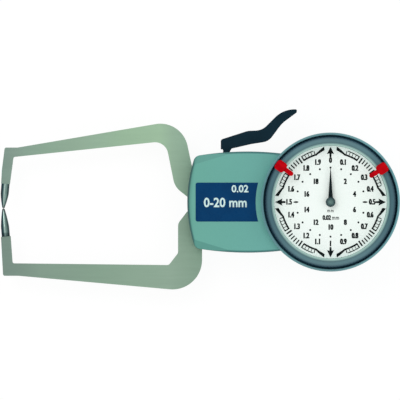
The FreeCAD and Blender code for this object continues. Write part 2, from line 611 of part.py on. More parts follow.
def moving_arm():
    """The upper arm: leg, tapered bar, bend, hub, ear for the lever and tail for the sector."""
    px, py = PIVOT
    leg_top = py + size.upper_leg_rise
    outer_end, inner_end = leg_end("upper", size.upper_leg_width)
    ear_left = px - size.ear_width / 2
    ear_right = px + size.ear_width / 2
    ear_top = py + size.ear_height
    half = size.tail_half_width
    corner = size.tail_rounding
    outline = [
        outer_end,
        (size.contact_x - size.upper_knee_out, py + size.upper_knee_rise, size.leg_rounding),
        (size.contact_x + size.upper_leg_lean, leg_top, size.small_rounding),
        (size.contact_x + size.upper_leg_run, leg_top, size.leg_rounding),
        (px - size.upper_bend_run, py + size.upper_bend_rise, size.upper_bend_radius),
        (px - size.upper_neck_run, py + size.upper_neck_rise, size.leg_rounding),
        (px - size.hub_radius * 0.63, py + size.hub_radius * 1.06, corner),
        (ear_left, ear_top, corner * 0.67),
        (ear_right, ear_top, corner * 0.67),
        (ear_right, py + half, corner),
        (px + size.tail_end, py + half, corner * 0.8),
        (px + size.tail_end, py - half, corner * 0.8),
        (px + size.hub_radius * 0.69, py - half, corner * 2),
        (px - size.hub_radius * 0.69, py - size.hub_radius * 0.71, corner * 0.67),
        (px - size.upper_waist_run, py + size.upper_waist_rise, size.upper_waist_radius),
        (px - size.upper_throat_run, py + size.upper_throat_rise, size.upper_throat_radius),
        (size.contact_x + size.upper_leg_inside, leg_top - size.upper_leg_depth, size.small_rounding),
        inner_end,
    ]
    body = doc.addObject("PartDesign::Body", "upper_arm")
    pad(body, "upper_arm_blank", rounded(outline), "arm_thickness")
    pad(body, "hub", [circle(px, py, size.hub_radius)], "arm_thickness")
    pocket(body, "hub_bore", [circle(px, py, size.bush_radius)], "arm_thickness")
    holes = [circle(x, y, size.small_screw_radius) for x, y in LEVER_SCREWS + SECTOR_SCREWS]
    holes.append(circle(size.spring_x, size.spring_foot, size.rivet_radius))
    pocket(body, "screw_holes", holes, "arm_thickness")
    return place(body, z="arm_level")


def fixed_arm():
    """The lower arm: leg, straight bar, bend and the tail that is screwed down in the housing."""
    px, py = PIVOT
    leg_bottom = py - size.lower_leg_fall
    outer_end, inner_end = leg_end("lower", size.lower_leg_width)
    bend_x = px - size.lower_bend_run
    throat_x = px - size.lower_throat_run
    throat_low = py - size.lower_throat_fall
    tail_x = px + size.lower_tail_run
    tail_low = ARM_SCREW_Y - size.lower_tail_half_width
    tail_high = ARM_SCREW_Y + size.lower_tail_half_width
    nose_x = px - size.lower_nose_run
    nose_y = py - size.lower_nose_fall
    corner = size.tail_rounding
    outline = [
        outer_end,
        (size.contact_x - size.lower_leg_lean, leg_bottom, size.small_rounding),
        (size.contact_x + size.lower_leg_run, leg_bottom, size.leg_rounding * 0.75),
        (bend_x, py - size.lower_bend_fall, size.lower_bend_radius),
        (bend_x, tail_low, corner * 0.33),
        (tail_x, tail_low, corner),
        (tail_x, tail_high, corner),
        (bend_x + corner, tail_high, corner),
        (nose_x, nose_y - size.arm_clearance, corner * 0.67),
        (nose_x - size.lower_nose_width, nose_y + size.arm_clearance, corner * 0.33),
        (throat_x, nose_y - size.lower_nose_width * 1.43, size.lower_nose_width),
        (throat_x, throat_low + size.lower_throat_cut_rise, size.lower_throat_radius),
        (throat_x - size.lower_throat_cut_run, throat_low, size.lower_throat_radius),
        (size.contact_x + size.lower_leg_inside, leg_bottom + size.lower_leg_depth, size.small_rounding),
        inner_end,
    ]
    body = doc.addObject("PartDesign::Body", "lower_arm")
    pad(body, "lower_arm_blank", rounded(outline), "arm_thickness")
    holes = [circle(x, y, size.screw_radius) for x, y in FIXED_ARM_SCREWS]
    pocket(body, "lower_arm_holes", holes, "arm_thickness")
    return place(body, z="arm_level")


def contact(name, side, turn):
    """A turned contact: pin in the arm's leg, straight collar, long taper and a small round tip."""
    reach = getattr(size, side + "_contact_length") - size.contact_gap / 2
    collar = size.contact_collar
    tip = size.contact_tip_radius
    diagonal = tip * math.sqrt(0.5)
    taper_end = reach - tip
    waist = (size.contact_radius + tip) / 2 + size.contact_swell
    profile = path((0, -size.pin_seat_length), (size.pin_seat_radius, -size.pin_seat_length),
                   (size.pin_seat_radius, 0), (size.contact_radius, 0), (size.contact_radius, collar),
                   (waist, (collar + taper_end) / 2, tip, taper_end),
                   (diagonal, taper_end + diagonal, 0, reach), (0, -size.pin_seat_length))
    body = doc.addObject("PartDesign::Body", name)
    drawn = sketch(body, name + "_profile", profile)
    feature = body.newObject("PartDesign::Revolution", name + "_turned")
    feature.Profile = drawn
    feature.ReferenceAxis = (drawn, ["V_Axis"])
    feature.Angle = 360
    body.setExpression("Placement.Rotation.Angle", bound(turn))
    return place(body, side + "_seat_x", side + "_seat_y", "contact_level")


def drilled(name, arm, side):
    """An arm with the blind hole that takes the contact's pin."""
    way = -1 if side == "upper" else 1
    hole = primitive("Cylinder", name + "_hole", Radius="pin_seat_radius", Height="pin_seat_length")
    turn = (FreeCAD.Rotation(Vector(0, 0, 1), way * size.contact_tilt)
            * FreeCAD.Rotation(Vector(1, 0, 0), way * 90))
    hole.Placement = FreeCAD.Placement(Vector(0, 0, 0), turn)
    place(hole, side + "_seat_x", side + "_seat_y", "contact_level")
    return cut(name, arm, hole)


def lever():
    """The thumb lever: a flat hook that rises from the ear and sweeps over the dial's edge."""
    px, py = PIVOT
    left = size.stem_left
    right = size.stem_right
    shoulder = size.lever_shoulder
    small = size.lever_tip_width
    under = py + size.lever_under
    tip_x = px + size.lever_tip_run
    tip_y = py + size.lever_tip_rise
    outline = [
        (left, py + size.stem_foot, shoulder),
        (left, under, shoulder * 0.3),
        (left - shoulder, under, shoulder * 0.3),
        (left - shoulder, py + size.lever_over, shoulder * 1.2),
        (px + size.lever_brow_run, py + size.lever_brow_rise, size.lever_brow_radius),
        (px + size.lever_back_run, py + size.lever_back_rise, size.lever_back_radius),
        (px + size.lever_hook_run, tip_y, size.lever_hook_radius),
        (tip_x, tip_y, small * 0.4),
        (tip_x - small * 0.07, tip_y - small, small * 0.27),
        (px + size.lever_palm_run, py + size.lever_palm_rise, size.lever_palm_radius),
        (px + size.lever_front_run, py + size.lever_front_rise, size.lever_front_radius),
        (px + size.lever_belly_run, py + size.lever_belly_rise, size.lever_brow_radius),
        (right + shoulder, under + shoulder * 0.35, shoulder * 0.8),
        (right, under - small, shoulder * 0.4),
        (right, py + size.stem_foot, shoulder),
    ]
    body = doc.addObject("PartDesign::Body", "lever")
    pad(body, "lever_blank", rounded(outline), "lever_thickness")
    holes = [circle(x, y, size.small_screw_radius) for x, y in LEVER_SCREWS]
    pocket(body, "lever_holes", holes, "lever_thickness")
    return place(body, z="arm_top")


def screws(name, places, radius, foot, seat, head_radius, head_height):
    """Slotted cheese-head screws of one kind, standing between two levels."""
    pieces = []
    for k, (x, y) in enumerate(places):
        shank = rod(f"{name}_shank_{k}", radius, foot, seat, x, y)
        head = rod(f"{name}_head_{k}", head_radius, seat, f"{seat} + {head_height}", x, y)
        slot = primitive("Box", f"{name}_slot_{k}", (f"{x} - {head_radius}", f"{y} - slot_width / 2",
                                                    f"{seat} + {head_height} - slot_depth"),
                         Length=f"2 * {head_radius}", Width="slot_width", Height="slot_depth")
        pieces.append(cut(f"{name}_{k}", fuse(f"{name}_blank_{k}", shank, head), slot))
    return fuse(name, *pieces)


# Housing

def grip_outline(inset):
    """The grip: a curved end on the left, barrelled long sides, ending inside the pot."""
    x = size.grip_corner_x - inset
    y = size.grip_corner_y - inset
    crown = size.grip_crown_y - inset
    root = y + size.grip_root_swell
    return path((-x, -y), (-size.grip_left + inset, 0, -x, y),
                (-size.grip_crown_x, crown, -size.grip_root_x, root),
                (-size.grip_root_x, -root), (-size.grip_crown_x, -crown, -x, -y))


def rounded_block(name, edges, low, high, corner, rim, rim_level):
    """A block with upright corners rounded first and then one rim."""
    body = doc.addObject("PartDesign::Body", name)
    blank = pad(body, name + "_blank", edges, f"{high} - {low}")
    place(body, z=low)
    doc.recompute()
    upright = [f"Edge{i + 1}" for i, edge in enumerate(blank.Shape.Edges)
               if edge.BoundBox.ZLength > 1 and edge.BoundBox.XMax < -size.grip_root_x - 1]
    corners = body.newObject("PartDesign::Fillet", name + "_corners")
    corners.Base = (blank, upright)
    corners.setExpression("Radius", bound(corner))
    doc.recompute()
    if rim:
        level = rim_level
        around = [f"Edge{i + 1}" for i, edge in enumerate(corners.Shape.Edges)
                  if edge.BoundBox.ZLength < 0.001 and abs(edge.BoundBox.ZMin - level) < 0.001
                  and edge.BoundBox.XMin < -size.grip_root_x - 1]
        rounding = body.newObject("PartDesign::Fillet", name + "_rim")
        rounding.Base = (corners, around)
        rounding.setExpression("Radius", bound(rim))
    return body


def arm_slots(name):
    """Openings of both shells for the arms: the moving arm's sweep, the fixed arm and the lever."""
    level = "arm_level - arm_clearance"
    thick = "arm_thickness + 2 * arm_clearance"
    px, py = PIVOT
    outside = -size.grip_left - size.grip_bulge
    beyond = size.grip_crown_y + size.wall_thickness
    low = py + size.hub_radius * 0.3
    ear_top = py + size.ear_height
    side = size.ear_width / 2 + size.hub_radius * 0.97
    sweep = plate(name + "_sweep", polygon([(outside, low), (outside, beyond), (px - side, beyond),
                                            (px - side, ear_top - 1), (px - size.hub_radius * 1.8, low)]),
                  thick, level)
    stem_left = size.stem_left - size.lever_shoulder - size.arm_clearance
    stem_right = size.stem_right + size.stem_travel
    stem = plate(name + "_stem", polygon([(stem_left, ear_top), (stem_left, beyond),
                                          (stem_right, beyond), (stem_right, ear_top)]),
                 "lever_thickness + arm_clearance", "arm_top")
    return [sweep, stem]


def rear_shell(arm):
    """The back half: rounded tray with bosses for screws, pivot, fixed arm and movement."""
    pot = rod("rear_pot", "case_radius", "0", "parting_level")
    doc.recompute()
    pot_edges = doc.addObject("Part::Fillet", "rear_pot_rounded")
    pot_edges.Base = pot
    lower = [i + 1 for i, edge in enumerate(pot.Shape.Edges) if abs(edge.BoundBox.ZMax) < 0.001]
    pot_edges.Edges = [(i, size.edge_radius, size.edge_radius) for i in lower]
    grip = rounded_block("rear_grip", grip_outline(0), "0", "parting_level", "corner_radius", "edge_radius", 0)
    hollow_pot = rod("rear_hollow_pot", "case_radius - wall_thickness", "floor_thickness", "parting_level + 1")
    hollow = rounded_block("rear_hollow", grip_outline(size.wall_thickness), "floor_thickness",
                           "parting_level + 1", "corner_radius - wall_thickness / 2", "", 0)
    tray = cut("rear_tray", fuse("rear_outside", pot_edges, grip), hollow_pot, hollow)
    px, py = PIVOT
    inside = "floor_thickness / 2"
    bosses = [rod(f"rear_boss_{k}", "boss_radius", inside, "parting_level", x, y)
              for k, (x, y) in enumerate(HOUSING_SCREWS)]
    bosses += [rod(f"rear_arm_boss_{k}", "boss_radius", inside, "arm_level", x, y)
               for k, (x, y) in enumerate(FIXED_ARM_SCREWS)]
    bosses += [rod(f"rear_plate_boss_{k}", "boss_radius", inside, "rear_plate_level", x, y)
               for k, (x, y) in enumerate(PILLARS)]
    bosses.append(rod("rear_pivot_boss", "hub_radius - 1", inside, "arm_level - arm_clearance", px, py))
    solid = fuse("rear_solid", tray, *bosses)
    holes = []
    for k, (x, y) in enumerate(HOUSING_SCREWS):
        holes.append(rod(f"rear_hole_{k}", "screw_radius", "0", "parting_level", x, y))
        holes.append(rod(f"rear_sink_{k}", "screw_head_radius + arm_clearance", "0",
                         "screw_head_height + arm_clearance", x, y))
    for k, (x, y) in enumerate(FIXED_ARM_SCREWS):
        holes.append(rod(f"rear_arm_hole_{k}", "screw_radius", "arm_level - arm_screw_depth - 1",
                         "arm_level", x, y))
    for k, (x, y) in enumerate(PILLARS):
        holes.append(rod(f"rear_plate_hole_{k}", "small_screw_radius", "floor_thickness",
                         "rear_plate_level", x, y))
    holes.append(rod("rear_pivot_hole", "pin_radius", "rear_plate_level", "arm_level", px, py))
    holes.append(rod("rear_stop_hole", "stop_radius", inside, "floor_thickness", *STOP))
    holes.append(rod("rear_post_hole", "post_radius", inside, "floor_thickness", "spring_x", "spring_top"))
    return cut("rear_shell", solid, arm, *holes, *arm_slots("rear_slot"))


def corner_facet(name, side):
    """A block that takes a sloping facet off one left corner of the top face."""
    x = -size.grip_corner_x
    y = side * (size.grip_corner_y - size.facet_width)
    far = (x + size.facet_length, side * (size.grip_corner_y + size.grip_barrel * 0.8))
    along = math.degrees(math.atan2(far[1] - y, far[0] - x))
    slope = math.degrees(math.atan2(size.facet_drop, size.facet_width))
    block = primitive("Box", name, Length="2 * facet_length", Width="3 * facet_width",
                      Height="3 * facet_drop")
    level = FreeCAD.Rotation(Vector(0, 0, 1), along)
    if side > 0:
        turn = level * FreeCAD.Rotation(Vector(1, 0, 0), -slope)
        start = Vector(x, y, 0) - level.multVec(Vector(size.facet_length / 2, 0, 0))
    else:
        turn = level * FreeCAD.Rotation(Vector(0, 0, 1), 180) * FreeCAD.Rotation(Vector(1, 0, 0), -slope)
        start = Vector(x, y, 0) + level.multVec(Vector(size.facet_length * 1.5, 0, 0))
    block.Placement = FreeCAD.Placement(Vector(0, 0, 0), turn)
    return place(block, str(start.x), str(start.y), "housing_height")


def front_shell(arm):
    """The front half: grip with the label's recess, and the pot that carries the case ring."""
    pot = rod("front_pot", "case_radius", "parting_level", "housing_height")
    grip = rounded_block("front_grip", grip_outline(0), "parting_level", "housing_height",
                         "corner_radius", "front_edge_radius", size.housing_height - size.parting_level)
    hollow_pot = rod("front_hollow_pot", "case_radius - wall_thickness", "parting_level - 1", "inner_top")
    hollow = rounded_block("front_hollow", grip_outline(size.wall_thickness), "parting_level - 1",
                           "inner_top", "corner_radius - wall_thickness / 2", "", 0)
    shell = cut("front_tray", fuse("front_outside", pot, grip), hollow_pot, hollow)
    px, py = PIVOT
    under_top = "inner_top + floor_thickness / 2"
    bosses = [rod(f"front_boss_{k}", "boss_radius", "parting_level", under_top, x, y)
              for k, (x, y) in enumerate(HOUSING_SCREWS)]
    bosses.append(rod("front_pivot_boss", "2 * pin_radius", "arm_top + arm_clearance", under_top, px, py))
    solid = fuse("front_solid", shell, *bosses)
    opening = rod("front_opening", "flange_radius + spigot_width", "front_plate_level", "housing_height + 1")
    label = plate("label_recess_tool", label_outline(), "label_recess + 1", "housing_height - label_recess")
    holes = [rod(f"front_hole_{k}", "screw_radius", "parting_level", "parting_level + housing_screw_depth + 1",
                 x, y)
             for k, (x, y) in enumerate(HOUSING_SCREWS)]
    holes.append(rod("front_pivot_hole", "pin_radius", "arm_level", "arm_top + pin_end", px, py))
    facets = [corner_facet("upper_facet", 1), corner_facet("lower_facet", -1)]
    return cut("front_shell", solid, arm, opening, label, *facets, *holes, *arm_slots("front_slot"))


def label_outline():
    """A plate with small left corners and a hollow right edge that follows the dial."""
    half = size.label_half_height
    left = -size.label_left
    right = -math.sqrt(size.label_radius ** 2 - half ** 2)
    corner = size.label_corner
    cosine = corner * math.sqrt(0.5)
    return path((right, half), (left + corner, half),
                (left + corner - cosine, half - corner + cosine, left, half - corner),
                (left, -half + corner),
                (left + corner - cosine, -half + corner - cosine, left + corner, -half),
                (right, -half), (-size.label_radius, 0, right, half))


# Dial

def case_ring():
    """The ring round the dial: spigot in the housing, flange under the bezel and upright rim."""
    base = size.housing_height
    top = size.ring_height
    foot = base - size.spigot_depth
    inner = size.flange_radius
    spigot = inner + size.spigot_width
    rim = size.case_radius
    bore = size.ring_bore
    bevel = size.ring_bevel
    profile = [(inner, foot), (spigot, foot), (spigot, base), (rim, base), (rim, top - bevel),
               (rim - bevel, top), (bore + bevel * 0.4, top), (bore, top - bevel * 0.4),
               (bore, size.flange_top), (inner, size.flange_top)]
    return turned("case_ring", profile)


def knurl_tool():
    """A ring whose inner edge is round the bezel, with points that press into its grip band."""
    points = []
    pitch = 360 / size.knurl_count
    outside = size.bezel_radius + size.groove_width / 3
    root = size.bezel_radius - size.knurl_depth
    for k in range(int(size.knurl_count)):
        points.append(polar(root, k * pitch))
        points.append(polar(outside, (k + 0.4) * pitch))
        points.append(polar(outside, (k + 0.6) * pitch))
    edges = polygon(points) + [circle(0, 0, size.bezel_radius + 2 * size.groove_width)]
    return plate("knurl_tool", edges, "bezel_top - ring_height + 1", "ring_height - bezel_clearance")


def bezel_ring():
    """The turning bezel: guiding foot, seat of the dial, seat of the crystal and bevelled grip band."""
    bottom = size.bezel_level
    foot = size.ring_bore - size.bezel_clearance
    foot_top = bottom + size.bezel_foot
    outer = size.bezel_radius
    top = size.bezel_top
    lip = size.lip_radius
    bevel = size.bezel_bevel
    profile = [(lip, bottom), (foot, bottom), (foot, foot_top), (outer, foot_top + size.groove_width / 3),
               (outer, top - bevel), (outer - bevel, top), (size.crystal_radius, top),
               (size.crystal_radius, size.crystal_level), (size.dial_radius, size.crystal_level),
               (size.dial_radius, size.dial_level), (lip, size.dial_level)]
    return cut("bezel_ring", turned("bezel_blank", profile), knurl_tool())


def marker(name, direction_name):
    """A tolerance marker: block over the bezel, leg in the groove and finger over the crystal."""
    inside = size.marker_inside
    outside = size.marker_outside
    half_turn = math.degrees(size.marker_width / 2 / size.bezel_radius)
    half_width = size.marker_width / 2
    corner = size.marker_corner
    edge = outside * math.cos(math.radians(half_turn))
    block = plate(name + "_block", rounded([(inside, -half_width, corner), (edge, -half_width, corner),
                                            (outside, 0, 0), (edge, half_width, corner),
                                            (inside, half_width, corner)]),
                  "marker_thickness", "marker_level")
    foot_turn = half_turn * (half_width - corner * 0.8) / half_width
    leg = plate(name + "_leg", ring_sector(size.bezel_radius + size.bezel_clearance, outside,
                                           -foot_turn, foot_turn),
                "marker_level - leg_level", "leg_level")
    reach = size.finger_reach
    half = size.finger_width / 2
    tip = path((inside + half, half), (reach + half, half), (reach, 0, reach + half, -half),
               (inside + half, -half), (inside + half, half))
    finger = plate(name + "_finger", tip, "finger_thickness", "marker_level")
    joined = fuse(name, block, leg, finger)
    joined.setExpression("Placement.Rotation.Angle", bound(direction_name))
    return joined


# Movement

def sector_gear():
    """The toothed sector: a brass blade screwed to the arm's tail."""
    teeth = size.sector_teeth
    pitch = 360 / teeth
    spare = 3
    count = int(size.arm_swing / pitch) + 1
    points = []
    for k in range(-spare, count + spare):
        points += tooth_points(teeth, MESH_DIRECTION + k * pitch)
    foot = size.sector_foot
    middle = MESH_DIRECTION + size.arm_swing / 2
    points.append(polar(foot + 4, middle + 11))
    points.append(polar(foot, middle + 8))
    points.append(polar(foot, middle - 12))
    points.append(polar(foot + 8, middle - 10))
    body = doc.addObject("PartDesign::Body", "sector_gear")
    pad(body, "sector_blade", polygon(points), "sector_thickness")
    holes = [circle(x - size.pivot_x, y - size.pivot_y, size.small_screw_radius) for x, y in SECTOR_SCREWS]
    pocket(body, "sector_holes", holes, "sector_thickness")
    return place(body, "pivot_x", "pivot_y", "arm_top")


def wheel(name, teeth, direction, level, centre, bore, windows=0):
    """A toothed wheel, crossed out with round windows where it is large."""
    edges = gear_outline(teeth, direction) + [circle(0, 0, bore)]
    radius = pitch_radius(teeth)
    for k in range(windows):
        x, y = polar(radius * 0.58, k * 360 / windows)
        edges.append(circle(x, y, radius * 0.24))
    return plate(name, edges, "wheel_thickness", level, *centre)


def idler():
    """The idler arbor with its pinion in the sector's plane, and its wheel."""
    toward_pivot = MESH_DIRECTION + 180
    pinion = plate("idler_pinion", gear_outline(size.idler_pinion_teeth,
                                                space_direction(size.idler_pinion_teeth, toward_pivot)),
                   "pinion_length", "wheel_level - pinion_length", *IDLER)
    shaft = rod("idler_shaft", "arbor_radius", "rear_plate_level", "front_plate_top", *IDLER)
    arbor = fuse("idler_arbor", pinion, shaft)
    toward_centre = math.degrees(math.atan2(-IDLER[1], -IDLER[0]))
    big = wheel("idler_wheel", size.idler_wheel_teeth, toward_centre, "wheel_level", IDLER,
                size.arbor_radius, 6)
    return arbor, big


def centre_arbor():
    """The centre arbor: pinion under the front plate, cannon pinion over it and the pointer's seat."""
    toward_idler = math.degrees(math.atan2(IDLER[1], IDLER[0]))
    pinion = plate("centre_pinion", gear_outline(size.centre_pinion_teeth,
                                                 space_direction(size.centre_pinion_teeth, toward_idler)),
                   "pinion_length", "wheel_level - wheel_thickness")
    cannon = plate("cannon_pinion", gear_outline(size.cannon_teeth,
                                                 space_direction(size.cannon_teeth, size.motion_angle)),
                   "coarse_level - motion_level - motion_gap / 2", "motion_level - motion_gap / 4")
    shaft = rod("centre_shaft", "arbor_radius", "rear_plate_level", "arbor_top")
    return fuse("centre_arbor", pinion, cannon, shaft)


def motion_wheel():
    """The motion wheel and its pinion, one turned and cut piece that runs on a stud."""
    x, y = MOTION
    bore = size.arbor_radius + size.pin_clearance
    low = plate("motion_lower", gear_outline(size.motion_wheel_teeth, size.motion_angle + 180)
                + [circle(0, 0, bore)], "wheel_thickness", "motion_level", x, y)
    turn = space_direction(size.motion_pinion_teeth, size.motion_angle + 180)
    high = plate("motion_upper", gear_outline(size.motion_pinion_teeth, turn) + [circle(0, 0, bore)],
                 "coarse_level - motion_level + wheel_thickness - motion_gap / 2", "motion_level + wheel_thickness", x, y)
    return fuse("motion_wheel", low, high)


def coarse_wheel():
    """The short pointer's wheel with the pipe that rises through the dial."""
    bore = size.arbor_radius + size.pin_clearance * 2
    disc = plate("coarse_disc", gear_outline(size.coarse_wheel_teeth, size.motion_angle)
                 + [circle(0, 0, bore)], "wheel_thickness", "coarse_level")
    pipe = plate("coarse_pipe", [circle(0, 0, size.pipe_radius), circle(0, 0, bore)],
                 "short_pointer_level + pointer_thickness + pointer_step / 3 - coarse_level", "coarse_level")
    return fuse("coarse_wheel", disc, pipe)


def movement_plate(name, level, centre_hole):
    """A round plate of the movement with holes for the arbors and pillars."""
    holes = [circle(x, y, size.small_screw_radius) for x, y in PILLARS]
    holes.append(circle(*IDLER, size.arbor_radius + size.pin_clearance))
    holes.append(circle(0, 0, centre_hole))
    if name.endswith("front"):
        holes.append(circle(*MOTION, size.arbor_radius))
    return plate(name, [circle(0, 0, size.plate_radius)] + holes, "plate_thickness", level)


def pillars():
    """Spacers with a thinner foot in the housing's bosses and a bore for the screw at the top."""
    pieces = []
    for k, (x, y) in enumerate(PILLARS):
        foot = rod(f"pillar_foot_{k}", "small_screw_radius", "floor_thickness + arm_clearance * 2",
                   "rear_plate_top", x, y)
        post = rod(f"pillar_post_{k}", "pillar_radius", "rear_plate_top", "front_plate_level", x, y)
        bore = rod(f"pillar_bore_{k}", "small_screw_radius", "front_plate_level - plate_screw_depth - 0.4",
                   "front_plate_level", x, y)
        pieces.append(cut(f"pillar_{k}", fuse(f"pillar_blank_{k}", foot, post), bore))
    return fuse("plate_pillars", *pieces)


def pointer(name, reach, width, bore, level):
    """A flat pointer: round eye and a blade that tapers to a fine point."""
    half = width / 2
    eye = size.pointer_eye
    root = math.sqrt(eye ** 2 - half ** 2)
    point = size.pointer_point / 2
    outline = path((half, root), (point, reach), (-point, reach), (-half, root), (0, -eye, half, root))
    return plate(name, outline + [circle(0, 0, bore)], "pointer_thickness", level)


def pointer_cap():
    """The grey cap pressed on the end of the centre arbor."""
    base = size.long_pointer_level + size.pointer_thickness
    seat = size.arbor_top
    top = base + size.cap_height
    bevel = size.cap_bevel
    profile = [(size.arbor_radius, base), (size.cap_radius, base), (size.cap_radius, top - bevel * 0.86),
               (size.cap_radius - bevel, top), (0, top), (0, seat), (size.arbor_radius, seat)]
    return turned("pointer_cap", profile)


def return_spring():
    """The closed spring between the post and the tail's pin: turns as rings, an eye at each end."""
    top = size.spring_top
    foot = size.spring_foot
    coil_low = foot + size.hook_length
    wire = size.spring_wire / 2
    ring_radius = size.spring_radius - wire
    count = int((top - size.hook_length - coil_low) / size.spring_wire)
    coil_high = coil_low + count * size.spring_wire
    outer = rod("spring_barrel", "spring_radius", "0", f"{count} * spring_wire")
    inner = rod("spring_core", "spring_radius - spring_wire", "-1", f"{count} * spring_wire + 1")
    coil = cut("spring_coil", outer, inner)
    coil.Placement = FreeCAD.Placement(Vector(0, 0, 0), FreeCAD.Rotation(Vector(1, 0, 0), -90))
    place(coil, "spring_x", str(coil_low), "spring_level")
    eyes = []
    for label, y, edge in (("low", foot, coil_low), ("high", top, coil_high)):
        eye = primitive("Torus", f"spring_eye_{label}", ("spring_x", str(y), "spring_level"),
                        Radius1="post_radius + spring_wire / 2 + eye_play", Radius2="spring_wire / 2")
        eyes.append(eye)
        reach = size.post_radius + size.eye_play + size.spring_wire / 2
        low_y = y + reach if label == "low" else edge
        high_y = edge if label == "low" else y - reach
        link = primitive("Box", f"spring_link_{label}",
                         (str(size.spring_x - ring_radius - wire), str(low_y - wire),
                          str(size.spring_level - wire)),
                         Length=str(ring_radius + 2 * wire), Width=str(high_y - low_y + 2 * wire),
                         Height="spring_wire")
        eyes.append(link)
    return fuse("return_spring", coil, *eyes)


# Assembly

def build():
    """Make every piece in the shared frame."""
    px, py = PIVOT
    upper = moving_arm()
    lower = drilled("fixed_arm", fixed_arm(), "lower")
    node(drilled("moving_arm", upper, "upper"), "moving_arm")
    node(lower, "fixed_arm")
    node(contact("moving_contact", "upper", "180 - contact_tilt"), "moving_contact")
    node(contact("fixed_contact", "lower", "contact_tilt"), "fixed_contact")
    node(cut("pivot_bush", rod("bush_outside", "bush_radius", "arm_level", "arm_top", px, py),
             rod("bush_bore", "pin_radius + pin_clearance", "arm_level", "arm_top", px, py)), "pivot_bush")
    node(rod("pivot_pin", "pin_radius", "rear_plate_level", "arm_top + pin_end", px, py), "pivot_pin")
    node(lever(), "lever")
    node(screws("lever_screws", LEVER_SCREWS, "small_screw_radius", "arm_level + screw_grip",
                "lever_top", "small_head_radius", "small_head_height"), "lever_screws")
    node(sector_gear(), "sector_gear")
    node(screws("sector_screws", SECTOR_SCREWS, "small_screw_radius", "arm_level + screw_grip",
                "sector_top", "small_head_radius", "small_head_height"), "sector_screws")
    node(rear_shell(lower), "rear_shell")
    node(front_shell(lower), "front_shell")
    node(screws("fixed_arm_screws", FIXED_ARM_SCREWS, "screw_radius", "arm_level - arm_screw_depth",
                "arm_top", "screw_head_radius", "screw_head_height"), "fixed_arm_screws")
    label = plate("label_plate", label_outline(), "label_thickness", "housing_height - label_recess")
    node(label, "label_plate")
    node(case_ring(), "case_ring")
    node(bezel_ring(), "bezel_ring")
    node(plate("dial_face", [circle(0, 0, size.dial_radius), circle(0, 0, size.dial_hole)],
               "dial_thickness", "dial_level"), "dial_face")
    node(rod("crystal", "crystal_radius", "crystal_level", "crystal_top"), "crystal")
    retainer = plate("crystal_ring", [circle(0, 0, size.crystal_radius), circle(0, 0, size.retainer_bore)],
                     "retainer_thickness", "crystal_top")
    node(retainer, "crystal_ring")
    node(marker("marker_left", "marker_left_angle"), "marker_left")
    node(marker("marker_right", "marker_right_angle"), "marker_right")
    arbor_hole = size.arbor_radius + size.pin_clearance
    node(movement_plate("movement_plate_rear", "rear_plate_level", arbor_hole), "movement_plate_rear")
    node(movement_plate("movement_plate_front", "front_plate_level", arbor_hole), "movement_plate_front")
    node(pillars(), "plate_pillars")
    node(screws("plate_screws", PILLARS, "small_screw_radius", "front_plate_level - plate_screw_depth",
                "front_plate_top", "small_head_radius", "small_head_height"), "plate_screws")
    node(rod("motion_stud", "arbor_radius", "front_plate_level", "coarse_level + coarse_gap", *MOTION),
         "motion_stud")
    arbor, big = idler()
    node(arbor, "idler_arbor")
    node(big, "idler_wheel")
    node(centre_arbor(), "centre_arbor")
    node(motion_wheel(), "motion_wheel")
    node(coarse_wheel(), "coarse_wheel")
    node(pointer("short_pointer", size.short_pointer_reach, size.short_pointer_width, size.pipe_radius,
                 "short_pointer_level"), "short_pointer")
    node(pointer("long_pointer", size.long_pointer_reach, size.long_pointer_width, size.arbor_radius,
                 "long_pointer_level"), "long_pointer")
    node(pointer_cap(), "pointer_cap")
    node(return_spring(), "return_spring")
    node(rod("spring_post", "post_radius", "floor_thickness / 2", "spring_level + post_end", "spring_x",
             "spring_top"), "spring_post")
    node(fuse("spring_pin", rod("spring_pin_body", "post_radius", "spring_level - post_end", "arm_level",
                                "spring_x", "spring_foot"),
              rod("spring_pin_rivet", "rivet_radius", "arm_level", "arm_top", "spring_x", "spring_foot")),
         "spring_pin")
    node(rod("stop_pin", "stop_radius", "floor_thickness / 2", "arm_top - screw_grip", *STOP), "stop_pin")
    housing = screws("housing_screws", [(x, -y) for x, y in HOUSING_SCREWS], "screw_radius",
                     "-parting_level - housing_screw_depth", "-screw_head_height", "screw_head_radius",
                     "screw_head_height - arm_clearance")
    housing.Placement = FreeCAD.Placement(Vector(0, 0, 0), FreeCAD.Rotation(Vector(1, 0, 0), 180))
    node(housing, "housing_screws")


def check():
    """Stop where a feature failed or a piece has no sound solid."""
    for thing in doc.Objects:
        if "Invalid" in thing.State or "Error" in thing.State:
            raise RuntimeError(f"{thing.Name} failed: {thing.State}")
    for thing in NODES:
        if thing.Shape.isNull() or not thing.Shape.isValid() or not thing.Shape.Solids:
            raise RuntimeError(f"{thing.Label} has no sound solid")


build()
doc.recompute()
check()
os.makedirs("parts", exist_ok=True)
for piece in NODES:
    piece.Shape.exportStep(f"parts/{piece.Label}.step")
    print(f"{piece.Label}: {len(piece.Shape.Solids)} solid, {piece.Shape.Volume:.1f} mm3")
print(len(NODES), "pieces")
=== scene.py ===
import json
import math

import bmesh
import bpy
from mathutils import Matrix, Vector


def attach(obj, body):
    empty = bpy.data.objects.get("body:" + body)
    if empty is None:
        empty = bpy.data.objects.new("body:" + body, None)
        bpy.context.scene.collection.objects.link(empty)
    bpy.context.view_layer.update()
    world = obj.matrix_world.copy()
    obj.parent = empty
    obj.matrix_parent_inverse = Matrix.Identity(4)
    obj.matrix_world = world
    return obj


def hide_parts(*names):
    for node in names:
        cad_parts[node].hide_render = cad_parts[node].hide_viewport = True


# Looks of the outside dial caliper gauge: materials of the pieces, the lever's skin, print of the
# dial and label, floor, light and camera. Lengths are in metres, and MM turns millimetres into metres.

